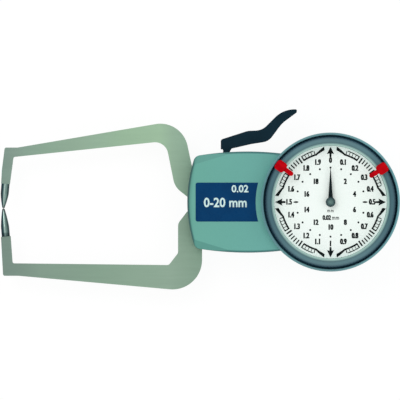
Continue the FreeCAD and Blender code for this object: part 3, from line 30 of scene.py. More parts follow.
MM = 0.001
DIAL_TOP = 23.0 * MM                    # face of the dial
DIAL_EDGE = 24.4 * MM                   # inside of the ring that holds the crystal
CASE_EDGE = 30.0 * MM                   # outside of the case ring
LABEL_TOP = 20.1 * MM                   # face of the label plate
ARM_END = -142.4 * MM                   # left end of the arms
ARM_ROOT = -58 * MM                     # where the arms go into the housing
HEEL_CENTRE = (26.5 * MM, -1.1 * MM)    # centre of the arc at the housing's left end
LEVER_ROOM = 0.08 * MM                  # how much slimmer the lever's skin is on every side
INK_THICKNESS = 0.03 * MM
ROOM_LIGHT = 0.72                       # strength of the surrounding light
PAPER_LEVEL = 0.01 * MM                 # the floor, just above the object's back
PAPER_HALF = 12.0                       # half the floor's side, in metres
PAPER_GLOW = 1.04                       # light of the paper where the camera sees it
GLOW_SHARE = 0.88                       # share of that light, while the rest keeps the shadows
VIEW_CENTRE = (-56.3 * MM, 0.9 * MM)
VIEW_LEVEL = 20 * MM                    # level at which the view is as wide as stated
VIEW_WIDTH = 172.7 * MM
SENSOR = 36
FOCAL = 800

# The dial's print, with radii in millimetres

TICKS = 100
TICK_STEP = 360 / TICKS
QUARTER = TICKS // 4                    # ticks from one arrow to the next
ARROW_GAP = 5                           # ticks left out on each side of an arrow
BROAD_TICKS = range(9, 17)              # broad ticks in the middle of each quarter
OUTER_CIRCLE = 23.2
INNER_CIRCLE = 21.35
NUMBERS = 20                            # numbers that the long pointer reads, with a dot for each
NUMBER_STEP = 360 / NUMBERS
NUMBER_CIRCLE = 18.0
DOT_CIRCLE = 14.9
TURNS = 10                              # turns of the long pointer, which the short pointer reads
TURN_STEP = 360 / TURNS
TURN_CIRCLE = 10.9

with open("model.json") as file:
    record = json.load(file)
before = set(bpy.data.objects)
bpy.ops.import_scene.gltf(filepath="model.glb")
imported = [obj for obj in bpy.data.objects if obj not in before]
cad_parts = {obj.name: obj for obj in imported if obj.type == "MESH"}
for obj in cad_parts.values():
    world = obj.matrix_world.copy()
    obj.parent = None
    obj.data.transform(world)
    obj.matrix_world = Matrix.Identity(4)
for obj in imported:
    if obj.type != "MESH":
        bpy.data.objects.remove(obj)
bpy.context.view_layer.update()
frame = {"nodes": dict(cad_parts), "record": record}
nodes = frame["nodes"]
scene = bpy.context.scene


# Materials

def linear(red, green, blue):
    """A colour given as 0 to 255 screen values, as linear values."""
    def channel(value):
        value /= 255
        return value / 12.92 if value <= 0.04045 else ((value + 0.055) / 1.055) ** 2.4
    return channel(red), channel(green), channel(blue)


def grey(value):
    return value, value, value


class Finish:
    """A material with a principled shader and small helpers for its nodes."""

    def __init__(self, name, metallic=0.0, roughness=0.5, ior=1.5, specular=0.5):
        self.material = bpy.data.materials.new(name)
        self.material.use_nodes = True
        self.tree = self.material.node_tree
        self.shader = self.tree.nodes["Principled BSDF"]
        self.shader.inputs["Metallic"].default_value = metallic
        self.shader.inputs["Roughness"].default_value = roughness
        self.shader.inputs["IOR"].default_value = ior
        self.shader.inputs["Specular IOR Level"].default_value = specular
        own = self.node("ShaderNodeTexCoord")
        self.coordinates = own.outputs["Object"]
        self.directions = own.outputs["Normal"]

    def node(self, kind, **settings):
        made = self.tree.nodes.new(kind)
        for key, value in settings.items():
            setattr(made, key, value)
        return made

    def link(self, output, target):
        self.tree.links.new(output, target)

    def noise(self, size, detail=3.0, stretch=(1, 1, 1)):
        """Noise with spots of about a size in metres."""
        mapping = self.node("ShaderNodeMapping")
        mapping.inputs["Scale"].default_value = stretch
        self.link(self.coordinates, mapping.inputs["Vector"])
        texture = self.node("ShaderNodeTexNoise")
        texture.inputs["Scale"].default_value = 1 / size
        texture.inputs["Detail"].default_value = detail
        self.link(mapping.outputs["Vector"], texture.inputs["Vector"])
        return texture.outputs["Fac"]

    def ramp(self, factor, *stops):
        """A colour ramp through stops of a position and a colour."""
        made = self.node("ShaderNodeValToRGB")
        ramp = made.color_ramp
        ramp.elements[0].position = stops[0][0]
        ramp.elements[0].color = (*stops[0][1], 1)
        ramp.elements[1].position = stops[-1][0]
        ramp.elements[1].color = (*stops[-1][1], 1)
        for position, color in stops[1:-1]:
            ramp.elements.new(position).color = (*color, 1)
        self.link(factor, made.inputs["Fac"])
        return made.outputs["Color"]

    def between(self, output, low, high):
        """A value as a share of the way between two limits."""
        made = self.node("ShaderNodeMapRange")
        made.inputs["From Min"].default_value = low
        made.inputs["From Max"].default_value = high
        self.link(output, made.inputs["Value"])
        return made.outputs["Result"]

    def vector(self, operation, source, second=None):
        """A step of vector arithmetic, with a fixed second value or none."""
        made = self.node("ShaderNodeVectorMath", operation=operation)
        self.link(source, made.inputs[0])
        if second is not None:
            made.inputs[1].default_value = second
        return made.outputs["Value" if operation == "LENGTH" else "Vector"]

    def along(self, axis, low, high):
        """How far a point lies between two places along an axis."""
        split = self.node("ShaderNodeSeparateXYZ")
        self.link(self.coordinates, split.inputs[0])
        return self.between(split.outputs[axis], low, high)

    def facing(self, axis, low, high):
        """How far the surface turns from one value to another of its direction along an axis."""
        split = self.node("ShaderNodeSeparateXYZ")
        self.link(self.directions, split.inputs[0])
        return self.between(split.outputs[axis], low, high)

    def outward(self, low, high, centre=(0, 0)):
        """How far a point lies between two radii about an upright axis, which is the dial's by default."""
        moved = self.vector("SUBTRACT", self.coordinates, (*centre, 0))
        flat = self.vector("MULTIPLY", moved, (1, 1, 0))
        return self.between(self.vector("LENGTH", flat), low, high)

    def sideways(self):
        """0 above and below the dial's axis and 1 to its left and right."""
        flat = self.vector("MULTIPLY", self.coordinates, (1, 1, 0))
        split = self.node("ShaderNodeSeparateXYZ")
        self.link(self.vector("ABSOLUTE", self.vector("NORMALIZE", flat)), split.inputs[0])
        return split.outputs["X"]

    def spread(self, factor, low, high):
        """A factor of noise as numbers between two values."""
        made = self.node("ShaderNodeMapRange")
        made.inputs["From Min"].default_value = 0.3
        made.inputs["From Max"].default_value = 0.7
        made.inputs["To Min"].default_value = low
        made.inputs["To Max"].default_value = high
        self.link(factor, made.inputs["Value"])
        return made.outputs["Result"]

    def mix(self, factor, first, second, blend="MIX"):
        """Two colours blended by a number or an output."""
        made = self.node("ShaderNodeMix", data_type="RGBA", blend_type=blend)
        if isinstance(factor, float):
            made.inputs["Factor"].default_value = factor
        else:
            self.link(factor, made.inputs["Factor"])
        for value, target in ((first, made.inputs[6]), (second, made.inputs[7])):
            if isinstance(value, tuple):
                target.default_value = (*value, 1)
            else:
                self.link(value, target)
        return made.outputs[2]

    def times(self, first, second):
        return self.mix(1.0, first, second, "MULTIPLY")

    def patches(self, noise, first, second):
        """Soft patches of two colours."""
        return self.ramp(noise, (0.3, first), (0.7, second))

    def grain(self, noise, darkest, low=0.35, high=0.65):
        """White with grey spots where the noise is low."""
        return self.ramp(noise, (low, grey(darkest)), (high, grey(1.0)))

    def color(self, output):
        self.link(output, self.shader.inputs["Base Color"])

    def rough(self, output):
        self.link(output, self.shader.inputs["Roughness"])

    def bump(self, output, height, strength=1.0):
        made = self.node("ShaderNodeBump")
        made.inputs["Distance"].default_value = height
        made.inputs["Strength"].default_value = strength
        self.link(output, made.inputs["Height"])
        self.link(made.outputs["Normal"], self.shader.inputs["Normal"])


def shade(color, factor):
    """A colour made darker or lighter."""
    return tuple(min(1.0, value * factor) for value in color)


def housing_plastic():
    """Moulded plastic with soft patches and fine grain; painted shade makes it darker at its rims, its
    sloping facets and the arms' end.
    """
    finish = Finish("housing_plastic", specular=0.4)
    fine = finish.noise(0.35 * MM, 4.0)
    slow = finish.noise(35 * MM, 2.0)
    near = finish.patches(slow, linear(101, 171, 156), linear(106, 177, 162))
    far = finish.patches(slow, linear(105, 175, 166), linear(110, 181, 172))
    base = finish.mix(finish.along(0, -60 * MM, -22 * MM), near, far)
    # Painted shade: rounded rims and sloping facets grow darker as the surface turns away from facing up,
    # as if a dark surround were reflected there.
    rim = finish.ramp(finish.facing("Z", 0, 1), (0.0, grey(0.9)), (0.08, grey(0.8)),
                      (0.25, (0.26, 0.35, 0.4)), (0.8, (0.32, 0.42, 0.47)), (0.93, (0.5, 0.6, 0.64)),
                      (0.98, (0.78, 0.84, 0.84)), (0.992, grey(1.0)))
    # Painted shade: a darker strip along the rounded left end of the housing, where the arms go in, by
    # distance from the centre of that end's arc.
    painted_heel_shade = finish.ramp(finish.outward(84.8 * MM, 88.2 * MM, HEEL_CENTRE), (0.0, grey(1.0)),
                       (0.32, grey(1.0)), (0.5, (0.9, 0.93, 0.93)), (0.65, (0.74, 0.81, 0.81)),
                       (0.8, (0.56, 0.64, 0.65)), (0.9, (0.44, 0.54, 0.57)), (1.0, (0.36, 0.48, 0.52)))
    base = finish.times(finish.times(base, finish.grain(fine, 0.93)), rim)
    finish.color(finish.times(base, painted_heel_shade))
    finish.rough(finish.spread(fine, 0.38, 0.5))
    finish.bump(fine, 0.02 * MM, 0.6)
    return finish.material


def label_lacquer():
    """Smooth deep blue lacquer with soft clouds."""
    finish = Finish("label_lacquer", roughness=0.3, specular=0.06)
    slow = finish.noise(9 * MM, 3.0)
    finish.color(finish.patches(slow, linear(2, 54, 97), linear(4, 62, 108)))
    finish.rough(finish.spread(finish.noise(1.2 * MM), 0.24, 0.34))
    finish.bump(finish.noise(0.5 * MM, 4.0), 0.004 * MM, 0.5)
    return finish.material


def blasted_alloy():
    """Light alloy with a fine blasted skin, a slow change of tone and faint draw lines; painted shade
    darkens its bevelled edges and the stretch next to the housing.
    """
    finish = Finish("blasted_alloy", metallic=0.55, roughness=0.5)
    slow = finish.noise(38 * MM, 2.0)
    fine = finish.noise(0.25 * MM, 5.0)
    lines = finish.noise(1.5 * MM, 3.0, stretch=(0.08, 1, 1))
    reach = finish.along(0, ARM_END, ARM_ROOT)
    # Tones along the length of each arm; the darker stretch where the arm meets the housing is painted
    # shade from the housing.
    upper = finish.ramp(reach, (0.0, linear(126, 150, 138)), (0.07, linear(133, 156, 143)),
                        (0.13, linear(137, 164, 147)), (0.25, linear(141, 170, 149)),
                        (0.375, linear(147, 175, 153)), (0.5, linear(151, 181, 157)),
                        (0.62, linear(154, 186, 157)), (0.81, linear(159, 191, 161)),
                        (0.88, linear(149, 178, 155)), (1.0, linear(139, 169, 148)))
    lower = finish.ramp(reach, (0.0, linear(120, 142, 131)), (0.1, linear(124, 147, 134)),
                        (0.2, linear(132, 157, 141)), (0.5, linear(136, 164, 144)),
                        (0.75, linear(142, 169, 149)), (0.87, linear(145, 171, 152)),
                        (1.0, linear(137, 165, 145)))
    base = finish.mix(finish.along(1, -6 * MM, 0), lower, upper)
    base = finish.times(base, finish.grain(slow, 0.93, 0.3, 0.7))
    base = finish.times(base, finish.grain(lines, 0.95, 0.3, 0.7))
    base = finish.times(base, finish.grain(fine, 0.92))
    # Painted shade: sloping bevel faces darker than the flat top of the arm.
    edge = finish.ramp(finish.facing("Z", 0, 1), (0.0, grey(1.0)), (0.15, grey(0.9)),
                       (0.3, (0.56, 0.58, 0.58)), (0.85, (0.6, 0.62, 0.62)), (0.97, (0.85, 0.86, 0.86)),
                       (0.995, grey(1.0)))
    finish.color(finish.times(base, edge))
    finish.rough(finish.spread(fine, 0.42, 0.56))
    finish.bump(fine, 0.015 * MM, 0.6)
    return finish.material


def contact_metal():
    """Ground dark metal: a painted highlight as a bright line along each contact, sides darkened by
    painted reflection, and a dark foot.
    """
    finish = Finish("contact_metal", metallic=1.0)
    fine = finish.noise(0.12 * MM, 4.0)
    # Painted highlight and painted reflection: a bright line near where the surface faces up and darker
    # sides as it turns away, as on metal that mirrors a dark surround.
    painted_glint_and_flank_shade = finish.ramp(finish.facing("X", -1, 1), (0.0, linear(20, 42, 48)), (0.22, linear(36, 62, 67)),
                        (0.36, linear(96, 122, 118)), (0.43, linear(176, 198, 190)),
                        (0.52, linear(128, 152, 145)), (0.72, linear(84, 106, 102)),
                        (1.0, linear(40, 62, 66)))
    foot = finish.ramp(finish.along(1, -15 * MM, -12.6 * MM), (0.0, (0.3, 0.34, 0.36)),
                       (0.6, (0.5, 0.54, 0.56)), (0.85, grey(1.0)))
    tip = finish.ramp(finish.along(1, -6.2 * MM, -0.2 * MM), (0.0, grey(1.0)),
                      (0.34, grey(0.72)), (0.45, (0.3, 0.32, 0.33)), (0.62, (0.3, 0.32, 0.33)),
                      (0.74, grey(0.7)), (1.0, grey(1.0)))
    finish.color(finish.times(painted_glint_and_flank_shade, finish.times(foot, tip)))
    finish.rough(finish.spread(fine, 0.2, 0.32))
    finish.bump(fine, 0.006 * MM, 0.5)
    return finish.material


def satin_lacquer(name, base):
    """Satin lacquer on metal: the tone that base makes, with soft patches and fine grain over it."""
    finish = Finish(name, metallic=0.3, specular=0.3)
    fine = finish.noise(0.4 * MM, 4.0)
    slow = finish.noise(20 * MM, 2.0)
    color = finish.times(base(finish), finish.grain(slow, 0.93, 0.3, 0.7))
    finish.color(finish.times(color, finish.grain(fine, 0.93)))
    finish.rough(finish.spread(fine, 0.3, 0.42))
    finish.bump(fine, 0.01 * MM, 0.6)
    return finish.material


def bezel_tone(finish):
    """Turned and lacquered, with painted sheen that makes it darker to the sides, and painted shade of the
    groove at the outer edge of the grip.
    """
    # Painted sheen: lighter above and below the dial's axis, darker to its left and right.
    face = finish.ramp(finish.sideways(), (0.0, linear(94, 128, 134)), (0.55, linear(92, 130, 137)),
                       (1.0, linear(70, 108, 118)))
    # Painted shade: the groove's shadow darkens the outer edge; the inner edge is a little darker as well.
    painted_groove_shade = finish.ramp(finish.outward(25.5 * MM, 28.1 * MM), (0.0, grey(0.72)),
                       (0.3, grey(1.0)), (0.62, (0.95, 0.95, 0.97)), (0.8, (0.5, 0.57, 0.64)),
                       (0.9, (0.22, 0.36, 0.46)), (1.0, (0.16, 0.36, 0.5)))
    return finish.times(face, painted_groove_shade)


def case_tone(finish):
    """Pale at the crystal, partly a painted reflection; dark in the groove, which is painted shade;
    grey-blue on the outer ring, paler to its right by painted light.
    """
    # The ring's own grey-blue, with a painted reflection pale at the crystal and painted shade dark in the
    # groove.
    ring_tones_and_painted_light = finish.ramp(finish.outward(DIAL_EDGE, CASE_EDGE), (0.0, linear(176, 210, 201)),
                        (0.09, linear(158, 192, 184)), (0.15, linear(126, 160, 158)),
                        (0.2, linear(108, 140, 143)), (0.66, linear(40, 88, 106)),
                        (0.74, linear(52, 110, 130)), (0.8, linear(100, 150, 160)),
                        (0.86, linear(112, 160, 166)), (0.92, linear(112, 158, 163)),
                        (1.0, linear(114, 160, 164)))
    # Painted light: the outer ring paler to the right and darker to the left.
    side = finish.ramp(finish.along(0, -CASE_EDGE, CASE_EDGE), (0.0, (0.76, 0.88, 0.88)),
                       (0.5, (0.98, 0.95, 0.94)), (1.0, (1.02, 1.2, 1.22)))
    return finish.mix(finish.outward(28.0 * MM, 28.6 * MM), ring_tones_and_painted_light, finish.times(ring_tones_and_painted_light, side))


def turned_metal(name, color, low=0.2, high=0.34):
    """Steel or brass with a fine grain and small stains."""
    finish = Finish(name, metallic=1.0)
    fine = finish.noise(0.12 * MM, 4.0)
    slow = finish.noise(5 * MM, 2.0)
    finish.color(finish.patches(slow, shade(color, 0.88), shade(color, 1.06)))
    finish.rough(finish.spread(fine, low, high))
    finish.bump(fine, 0.006 * MM, 0.5)
    return finish.material


def cap_metal():
    """Turned metal with painted shading: a darker rim and a pale middle."""
    finish = Finish("cap_metal", metallic=1.0)
    fine = finish.noise(0.12 * MM, 4.0)
    # Painted shade and painted highlight: pale in the middle, darker towards the rim.
    tone = finish.ramp(finish.outward(0, 2.6 * MM), (0.0, linear(112, 140, 134)),
                       (0.25, linear(96, 122, 119)), (0.5, linear(70, 92, 92)),
                       (0.8, linear(52, 72, 76)), (1.0, linear(44, 62, 68)))
    speck = finish.ramp(finish.noise(0.9 * MM, 2.0), (0.35, grey(0.8)), (0.65, grey(1.1)))
    finish.color(finish.times(tone, speck))
    finish.rough(finish.spread(fine, 0.3, 0.45))
    finish.bump(fine, 0.006 * MM, 0.5)
    return finish.material


def lever_lacquer():
    """Blue-black lacquer with soft patches and fine grain."""
    finish = Finish("lever_lacquer", roughness=0.42, specular=0.07)
    slow = finish.noise(12 * MM, 2.0)
    fine = finish.noise(0.4 * MM, 4.0)
    base = finish.patches(slow, linear(9, 37, 49), linear(15, 45, 58))
    finish.color(finish.times(base, finish.grain(fine, 0.85)))
    finish.rough(finish.spread(fine, 0.36, 0.5))
    finish.bump(fine, 0.02 * MM, 0.5)
    return finish.material


def dial_lacquer():
    """Greenish white lacquer with a painted glow, stronger towards its rim, where it lifts the shade of
    the ring.
    """
    finish = Finish("dial_lacquer", roughness=0.6, specular=0.3)
    slow = finish.noise(14 * MM, 2.0)
    finish.color(finish.patches(slow, linear(244, 254, 248), linear(248, 255, 252)))
    # Painted light: the dial glows though it is no lamp, more strongly near its rim.
    glow = finish.ramp(finish.outward(18 * MM, DIAL_EDGE), (0.0, (0.1, 0.11, 0.105)),
                       (0.6, (0.13, 0.15, 0.14)), (1.0, (0.22, 0.29, 0.26)))
    finish.link(glow, finish.shader.inputs["Emission Color"])
    finish.shader.inputs["Emission Strength"].default_value = 1.0
    finish.rough(finish.spread(finish.noise(0.6 * MM), 0.5, 0.65))
    finish.bump(finish.noise(0.3 * MM, 4.0), 0.003 * MM, 0.5)
    return finish.material


def clear_acrylic():
    """A nearly clear film, which shows mostly by its gloss."""
    finish = Finish("clear_acrylic", roughness=0.03, ior=1.49)
    finish.shader.inputs["Base Color"].default_value = (*linear(60, 70, 66), 1)
    finish.shader.inputs["Alpha"].default_value = 0.012
    finish.rough(finish.spread(finish.noise(6 * MM, 2.0), 0.02, 0.05))
    return finish.material


def marker_plastic():
    """Glossy red plastic."""
    finish = Finish("marker_plastic", roughness=0.3, specular=0.02)
    slow = finish.noise(3 * MM, 2.0)
    finish.color(finish.patches(slow, linear(168, 2, 14), linear(204, 8, 22)))
    finish.rough(finish.spread(finish.noise(0.5 * MM), 0.22, 0.34))
    finish.bump(finish.noise(0.4 * MM), 0.004 * MM, 0.5)
    return finish.material


def ink(name, color, roughness=0.55):
    """Matt ink or lacquer with a fine change of tone."""
    finish = Finish(name, roughness=roughness, specular=0.08)
    fine = finish.noise(0.3 * MM, 3.0)
    finish.color(finish.patches(fine, color, shade(color, 1.3)))
    finish.rough(finish.spread(fine, roughness - 0.05, roughness + 0.05))
    return finish.material


FINISHES = {
    "housing": housing_plastic(),
    "label": label_lacquer(),
    "case_metal": satin_lacquer("case_lacquer", case_tone),
    "bezel_metal": satin_lacquer("bezel_lacquer", bezel_tone),
    "arm_metal": blasted_alloy(),
    "contact": contact_metal(),
    "lever_paint": lever_lacquer(),
    "screw_steel": turned_metal("screw_metal", linear(178, 181, 184)),
    "spring_steel": turned_metal("spring_metal", linear(168, 170, 174), 0.15, 0.25),
    "movement_brass": turned_metal("movement_metal", linear(204, 176, 108)),
    "pointer_black": ink("pointer_black", linear(10, 24, 26), 0.5),
    "cap_metal": cap_metal(),
    "crystal": clear_acrylic(),
    "dial_white": dial_lacquer(),
    "marker_red": marker_plastic(),
}
SLOTS = {row["node"]: row["material_slot"] for row in frame["record"]["subparts"]}

for name, thing in nodes.items():
    finish = FINISHES[SLOTS[name]]
    if not thing.material_slots:
        thing.data.materials.append(finish)
    for place in thing.material_slots:
        place.material = finish


# The lever's skin, and softened edges of the visible pieces

def lever_skin():
    """The lever's visible form, slimmer by a hair so that it stays clear of the housing as it swings."""
    data = nodes["lever"].data.copy()
    mesh = bmesh.new()
    mesh.from_mesh(data)
    bmesh.ops.remove_doubles(mesh, verts=mesh.verts, dist=0.001 * MM)
    mesh.normal_update()
    moves = [(vert, vert.normal * vert.calc_shell_factor() * LEVER_ROOM) for vert in mesh.verts]
    for vert, move in moves:
        vert.co -= move
    for face in mesh.faces:
        face.smooth = True
    for edge in mesh.edges:
        edge.smooth = edge.calc_face_angle(0) < math.radians(30)
    mesh.to_mesh(data)
    mesh.free()
    if "custom_normal" in data.attributes:
        data.attributes.remove(data.attributes["custom_normal"])
    piece = bpy.data.objects.new("lever_skin", data)
    scene.collection.objects.link(piece)
    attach(piece, "swing_arm")
    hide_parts("lever")
    return piece


def soften(thing, width, segments=3, angle=35):
    """Round the sharp edges of a piece."""
    bevel = thing.modifiers.new("edges", "BEVEL")
    bevel.width = width
    bevel.segments = segments
    bevel.limit_method = "ANGLE"
    bevel.angle_limit = math.radians(angle)
    bevel.use_clamp_overlap = True
    bevel.harden_normals = True


for name, width in (("moving_arm", 0.35), ("fixed_arm", 0.35), ("marker_left", 0.3),
                    ("marker_right", 0.3), ("label_plate", 0.1), ("case_ring", 0.15)):
    soften(nodes[name], width * MM)
soften(lever_skin(), 0.7 * MM)


# Print

def spot(radius, angle):
    """A point of the dial by its radius and its angle."""
    return radius * math.cos(angle), radius * math.sin(angle)


class Print:
    """Flat print that is collected as faces and becomes one thin piece."""

    def __init__(self):
        self.mesh = bmesh.new()

    def face(self, points):
        """A flat face through points in millimetres."""
        corners = [self.mesh.verts.new((x * MM, y * MM, 0)) for x, y in points]
        self.mesh.faces.new(corners)

    def bar(self, inner, outer, degrees, width):
        """A tick between two radii."""
        angle = math.radians(degrees)
        along = Vector((math.cos(angle), math.sin(angle)))
        across = Vector((-along.y, along.x)) * width / 2
        self.face([along * inner - across, along * outer - across, along * outer + across,
                   along * inner + across])

    def ring(self, radius, width, start, end, steps=180):
        """A part of a ring."""
        inner = radius - width / 2
        outer = radius + width / 2
        count = max(2, int(steps * (end - start) / 360))
        angles = [math.radians(start + (end - start) * k / count) for k in range(count + 1)]
        for a, b in zip(angles, angles[1:]):
            self.face([spot(inner, a), spot(outer, a), spot(outer, b), spot(inner, b)])

    def sweep(self, start, end, first, last, wide, narrow, count=8):
        """A curved stroke whose radius and width change on its way round."""
        points = []
        for k in range(count + 1):
            share = k / count
            angle = math.radians(start + (end - start) * share)
            radius = first + (last - first) * share
            half = (wide + (narrow - wide) * share) / 2
            points.append([spot(radius - half, angle), spot(radius + half, angle)])
        for a, b in zip(points, points[1:]):
            self.face([a[0], a[1], b[1], b[0]])

    def dot(self, x, y, radius, count=14):
        """A round dot."""
        rim = [spot(radius, 2 * math.pi * k / count) for k in range(count)]
        self.face([(x + across, y + up) for across, up in rim])

    def shape(self, points, degrees):
        """A shape drawn round the upward axis, turned clockwise."""
        turn = Matrix.Rotation(-math.radians(degrees), 2)
        self.face([turn @ Vector(point) for point in points])

    def bold(self, text, size, x, y, weight, stretch, widen):
        """A line of text drawn twice, side by side and on two levels, for broad strokes."""
        for shift, lift in ((-widen, 0), (widen, 0.012)):
            self.words(text, size, x + shift, y, weight, stretch=stretch, lift=lift)

    def words(self, text, size, x, y, weight=0.0, spacing=1.0, stretch=1.0, lift=0.0):
        """A line of text centred on a point."""
        curve = bpy.data.curves.new("words", "FONT")
        curve.body = text
        curve.size = size
        curve.align_x = "CENTER"
        curve.align_y = "CENTER"
        curve.offset = weight
        curve.space_character = spacing
        curve.resolution_u = 3
        holder = bpy.data.objects.new("words", curve)
        scene.collection.objects.link(holder)
        bpy.context.view_layer.update()
        flat = bpy.data.meshes.new_from_object(holder)
        scale = Matrix.Diagonal((stretch * MM, MM, MM, 1))
        flat.transform(Matrix.Translation((x * MM, y * MM, lift * MM)) @ scale)
        self.mesh.from_mesh(flat)
        bpy.data.objects.remove(holder)
        bpy.data.curves.remove(curve)
        bpy.data.meshes.remove(flat)

    def finish(self, name, level, material, body):
        """The print as a thin piece on a level."""
        data = bpy.data.meshes.new(name)
        self.mesh.transform(Matrix.Translation((0, 0, level)))
        bmesh.ops.recalc_face_normals(self.mesh, faces=self.mesh.faces)
        for face in self.mesh.faces:
            if face.normal.z < 0:
                face.normal_flip()
        self.mesh.to_mesh(data)
        self.mesh.free()
        piece = bpy.data.objects.new(name, data)
        scene.collection.objects.link(piece)
        data.materials.append(material)
        solid = piece.modifiers.new("ink", "SOLIDIFY")
        solid.thickness = INK_THICKNESS
        solid.offset = 1.0
        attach(piece, body)
        return piece


BLACK = ink("dial_ink", linear(5, 16, 18))
WHITE = ink("label_ink", linear(206, 240, 234))


def dial_scale():
    """Ticks between parts of two circles, strokes towards an arrow at each quarter, and dots."""
    scale = Print()
    for k in range(TICKS):
        degrees = 90 - k * TICK_STEP
        place = k % QUARTER
        if min(place, QUARTER - place) < ARROW_GAP:
            continue
        if place in BROAD_TICKS:
            scale.bar(21.2 if k % 5 else 20.7, 23.4, degrees, 0.55 if k % 5 else 0.7)
        else:
            scale.bar(21.6, 23.1, degrees, 0.28 if k % 5 else 0.4)
    for quarter in (0, 90, 180, 270):
        scale.ring(OUTER_CIRCLE, 0.4, quarter + 19, quarter + 33)
        scale.ring(OUTER_CIRCLE, 0.4, quarter + 57, quarter + 71)
        scale.ring(INNER_CIRCLE, 0.75, quarter + 16, quarter + 33)
        scale.ring(INNER_CIRCLE, 0.75, quarter + 57, quarter + 74)
        scale.sweep(quarter + 6.5, quarter + 17, 23.3, INNER_CIRCLE, 1.6, 0.75)
        scale.sweep(quarter + 83.5, quarter + 73, 23.3, INNER_CIRCLE, 1.6, 0.75)
    for k in range(NUMBERS):
        scale.dot(*spot(DOT_CIRCLE, math.radians(90 - k * NUMBER_STEP)), 0.44)
    for degrees in (0, 180):
        scale.bar(13.9, 15.9, degrees, 0.6)
    arrow = [(-0.4, 19.4), (0.4, 19.4), (0.5, 21.0), (1.55, 20.7), (0, 23.9), (-1.55, 20.7),
             (-0.5, 21.0)]
    for k in range(4):
        scale.shape(arrow, 90 * k)
    return scale.finish("dial_scale", DIAL_TOP, BLACK, "bezel")


def dial_numbers():
    """Tenths of a millimetre over one turn of the long pointer, and whole millimetres inside."""
    numbers = Print()
    for k in range(NUMBERS):
        text = str(k // 10) if k % 10 == 0 else f"{k / 10:.1f}"
        place = spot(NUMBER_CIRCLE, math.radians(90 - k * NUMBER_STEP))
        numbers.bold(text, 3.3, *place, 0.1, 0.68, 0.13)
    for k in range(1, TURNS):
        place = spot(TURN_CIRCLE, math.radians(90 - k * TURN_STEP))
        numbers.bold(str(k * 2), 3.2, *place, 0.1, 0.72, 0.12)
    numbers.words("mm", 2.1, 0, -3.7, 0.04, 1.3, 0.8)
    numbers.bold("0.02", 2.8, -1.6, -6.8, 0.08, 0.74, 0.1)
    numbers.words("mm", 2.6, 2.2, -6.8, 0.05, 1.15, 0.74)
    return numbers.finish("dial_numbers", DIAL_TOP, BLACK, "bezel")


def label_words():
    """The measuring range and the value of one division, in plain figures."""
    words = Print()
    words.words("0-20 mm", 5.6, -45.3, -0.4, 0.14, stretch=0.92)
    words.words("0.02", 4.3, -39.0, 5.6, 0.12)
    return words.finish("label_words", LABEL_TOP, WHITE, "housing")


dial_scale()
dial_numbers()
label_words()


# Floor, light and camera

def background_ray(tree):
    """1 for the rays that see the background: the camera's, and those of gloss and clear pieces."""
    path = tree.nodes.new("ShaderNodeLightPath")
    first = tree.nodes.new("ShaderNodeMath")
    first.operation = "MAXIMUM"
    tree.links.new(path.outputs["Is Camera Ray"], first.inputs[0])
    tree.links.new(path.outputs["Is Glossy Ray"], first.inputs[1])
    second = tree.nodes.new("ShaderNodeMath")
    second.operation = "MAXIMUM"
    tree.links.new(first.outputs[0], second.inputs[0])
    tree.links.new(path.outputs["Is Transmission Ray"], second.inputs[1])
    return second.outputs[0]


def make_world():
    """Even white light, with a brighter white where the background is seen."""
    world = bpy.data.worlds.new("studio")
    world.use_nodes = True
    scene.world = world
    tree = world.node_tree
    plain = tree.nodes["Background"]
    plain.inputs["Color"].default_value = (1, 1, 1, 1)
    plain.inputs["Strength"].default_value = ROOM_LIGHT
    white = tree.nodes.new("ShaderNodeBackground")
    white.inputs["Color"].default_value = (1, 1, 1, 1)
    white.inputs["Strength"].default_value = 1.0
    mixed = tree.nodes.new("ShaderNodeMixShader")
    tree.links.new(background_ray(tree), mixed.inputs["Fac"])
    tree.links.new(plain.outputs[0], mixed.inputs[1])
    tree.links.new(white.outputs[0], mixed.inputs[2])
    tree.links.new(mixed.outputs[0], tree.nodes["World Output"].inputs["Surface"])


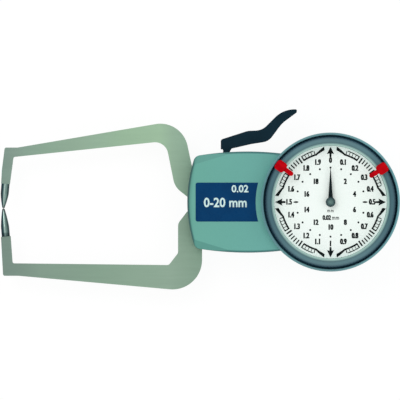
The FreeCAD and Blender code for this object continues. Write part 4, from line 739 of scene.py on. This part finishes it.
def make_floor():
    """Pale paper that is clear from below, where it would hide the object's back."""
    data = bpy.data.meshes.new("floor")
    corners = [(x * PAPER_HALF, y * PAPER_HALF, PAPER_LEVEL)
               for x, y in ((-1, -1), (1, -1), (1, 1), (-1, 1))]
    data.from_pydata(corners, [], [(0, 1, 2, 3)])
    floor = bpy.data.objects.new("floor", data)
    scene.collection.objects.link(floor)
    finish = Finish("floor_paper", roughness=0.9)
    finish.color(finish.patches(finish.noise(0.4), grey(0.88), grey(0.9)))
    tree = finish.tree
    glow = tree.nodes.new("ShaderNodeEmission")
    glow.inputs["Color"].default_value = (1, 1, 1, 1)
    glow.inputs["Strength"].default_value = PAPER_GLOW
    share = tree.nodes.new("ShaderNodeMath")
    share.operation = "MULTIPLY"
    share.inputs[1].default_value = GLOW_SHARE
    tree.links.new(background_ray(tree), share.inputs[0])
    mixed = tree.nodes.new("ShaderNodeMixShader")
    tree.links.new(share.outputs[0], mixed.inputs["Fac"])
    tree.links.new(finish.shader.outputs[0], mixed.inputs[1])
    tree.links.new(glow.outputs[0], mixed.inputs[2])
    sides = tree.nodes.new("ShaderNodeNewGeometry")
    clear = tree.nodes.new("ShaderNodeBsdfTransparent")
    paper = tree.nodes.new("ShaderNodeMixShader")
    tree.links.new(sides.outputs["Backfacing"], paper.inputs["Fac"])
    tree.links.new(mixed.outputs[0], paper.inputs[1])
    tree.links.new(clear.outputs[0], paper.inputs[2])
    tree.links.new(paper.outputs[0], tree.nodes["Material Output"].inputs["Surface"])
    data.materials.append(finish.material)


def softbox(name, place, target, size, power):
    """A square light that faces a point."""
    data = bpy.data.lights.new(name, "AREA")
    data.shape = "SQUARE"
    data.size = size
    data.energy = power
    lamp = bpy.data.objects.new(name, data)
    lamp.location = place
    lamp.rotation_mode = "QUATERNION"
    lamp.rotation_quaternion = (Vector(target) - Vector(place)).to_track_quat("-Z", "Y")
    scene.collection.objects.link(lamp)


def make_camera():
    """A long lens straight above, so that the view has hardly any perspective."""
    data = bpy.data.cameras.new("camera")
    data.sensor_width = SENSOR
    data.lens = FOCAL
    data.clip_start = 0.1
    data.clip_end = 50
    camera = bpy.data.objects.new("camera", data)
    scene.collection.objects.link(camera)
    distance = VIEW_WIDTH / 2 / (SENSOR / 2 / FOCAL)
    camera.location = (*VIEW_CENTRE, VIEW_LEVEL + distance)
    camera.rotation_euler = (0, 0, 0)
    scene.camera = camera


make_world()
make_floor()
softbox("key", (-0.7, 0.8, 1.3), (-0.05, 0, 0), 0.9, 6.0)
softbox("fill", (0.9, -0.5, 1.1), (-0.05, 0, 0), 0.9, 2.0)
make_camera()
scene.view_settings.view_transform = "Standard"
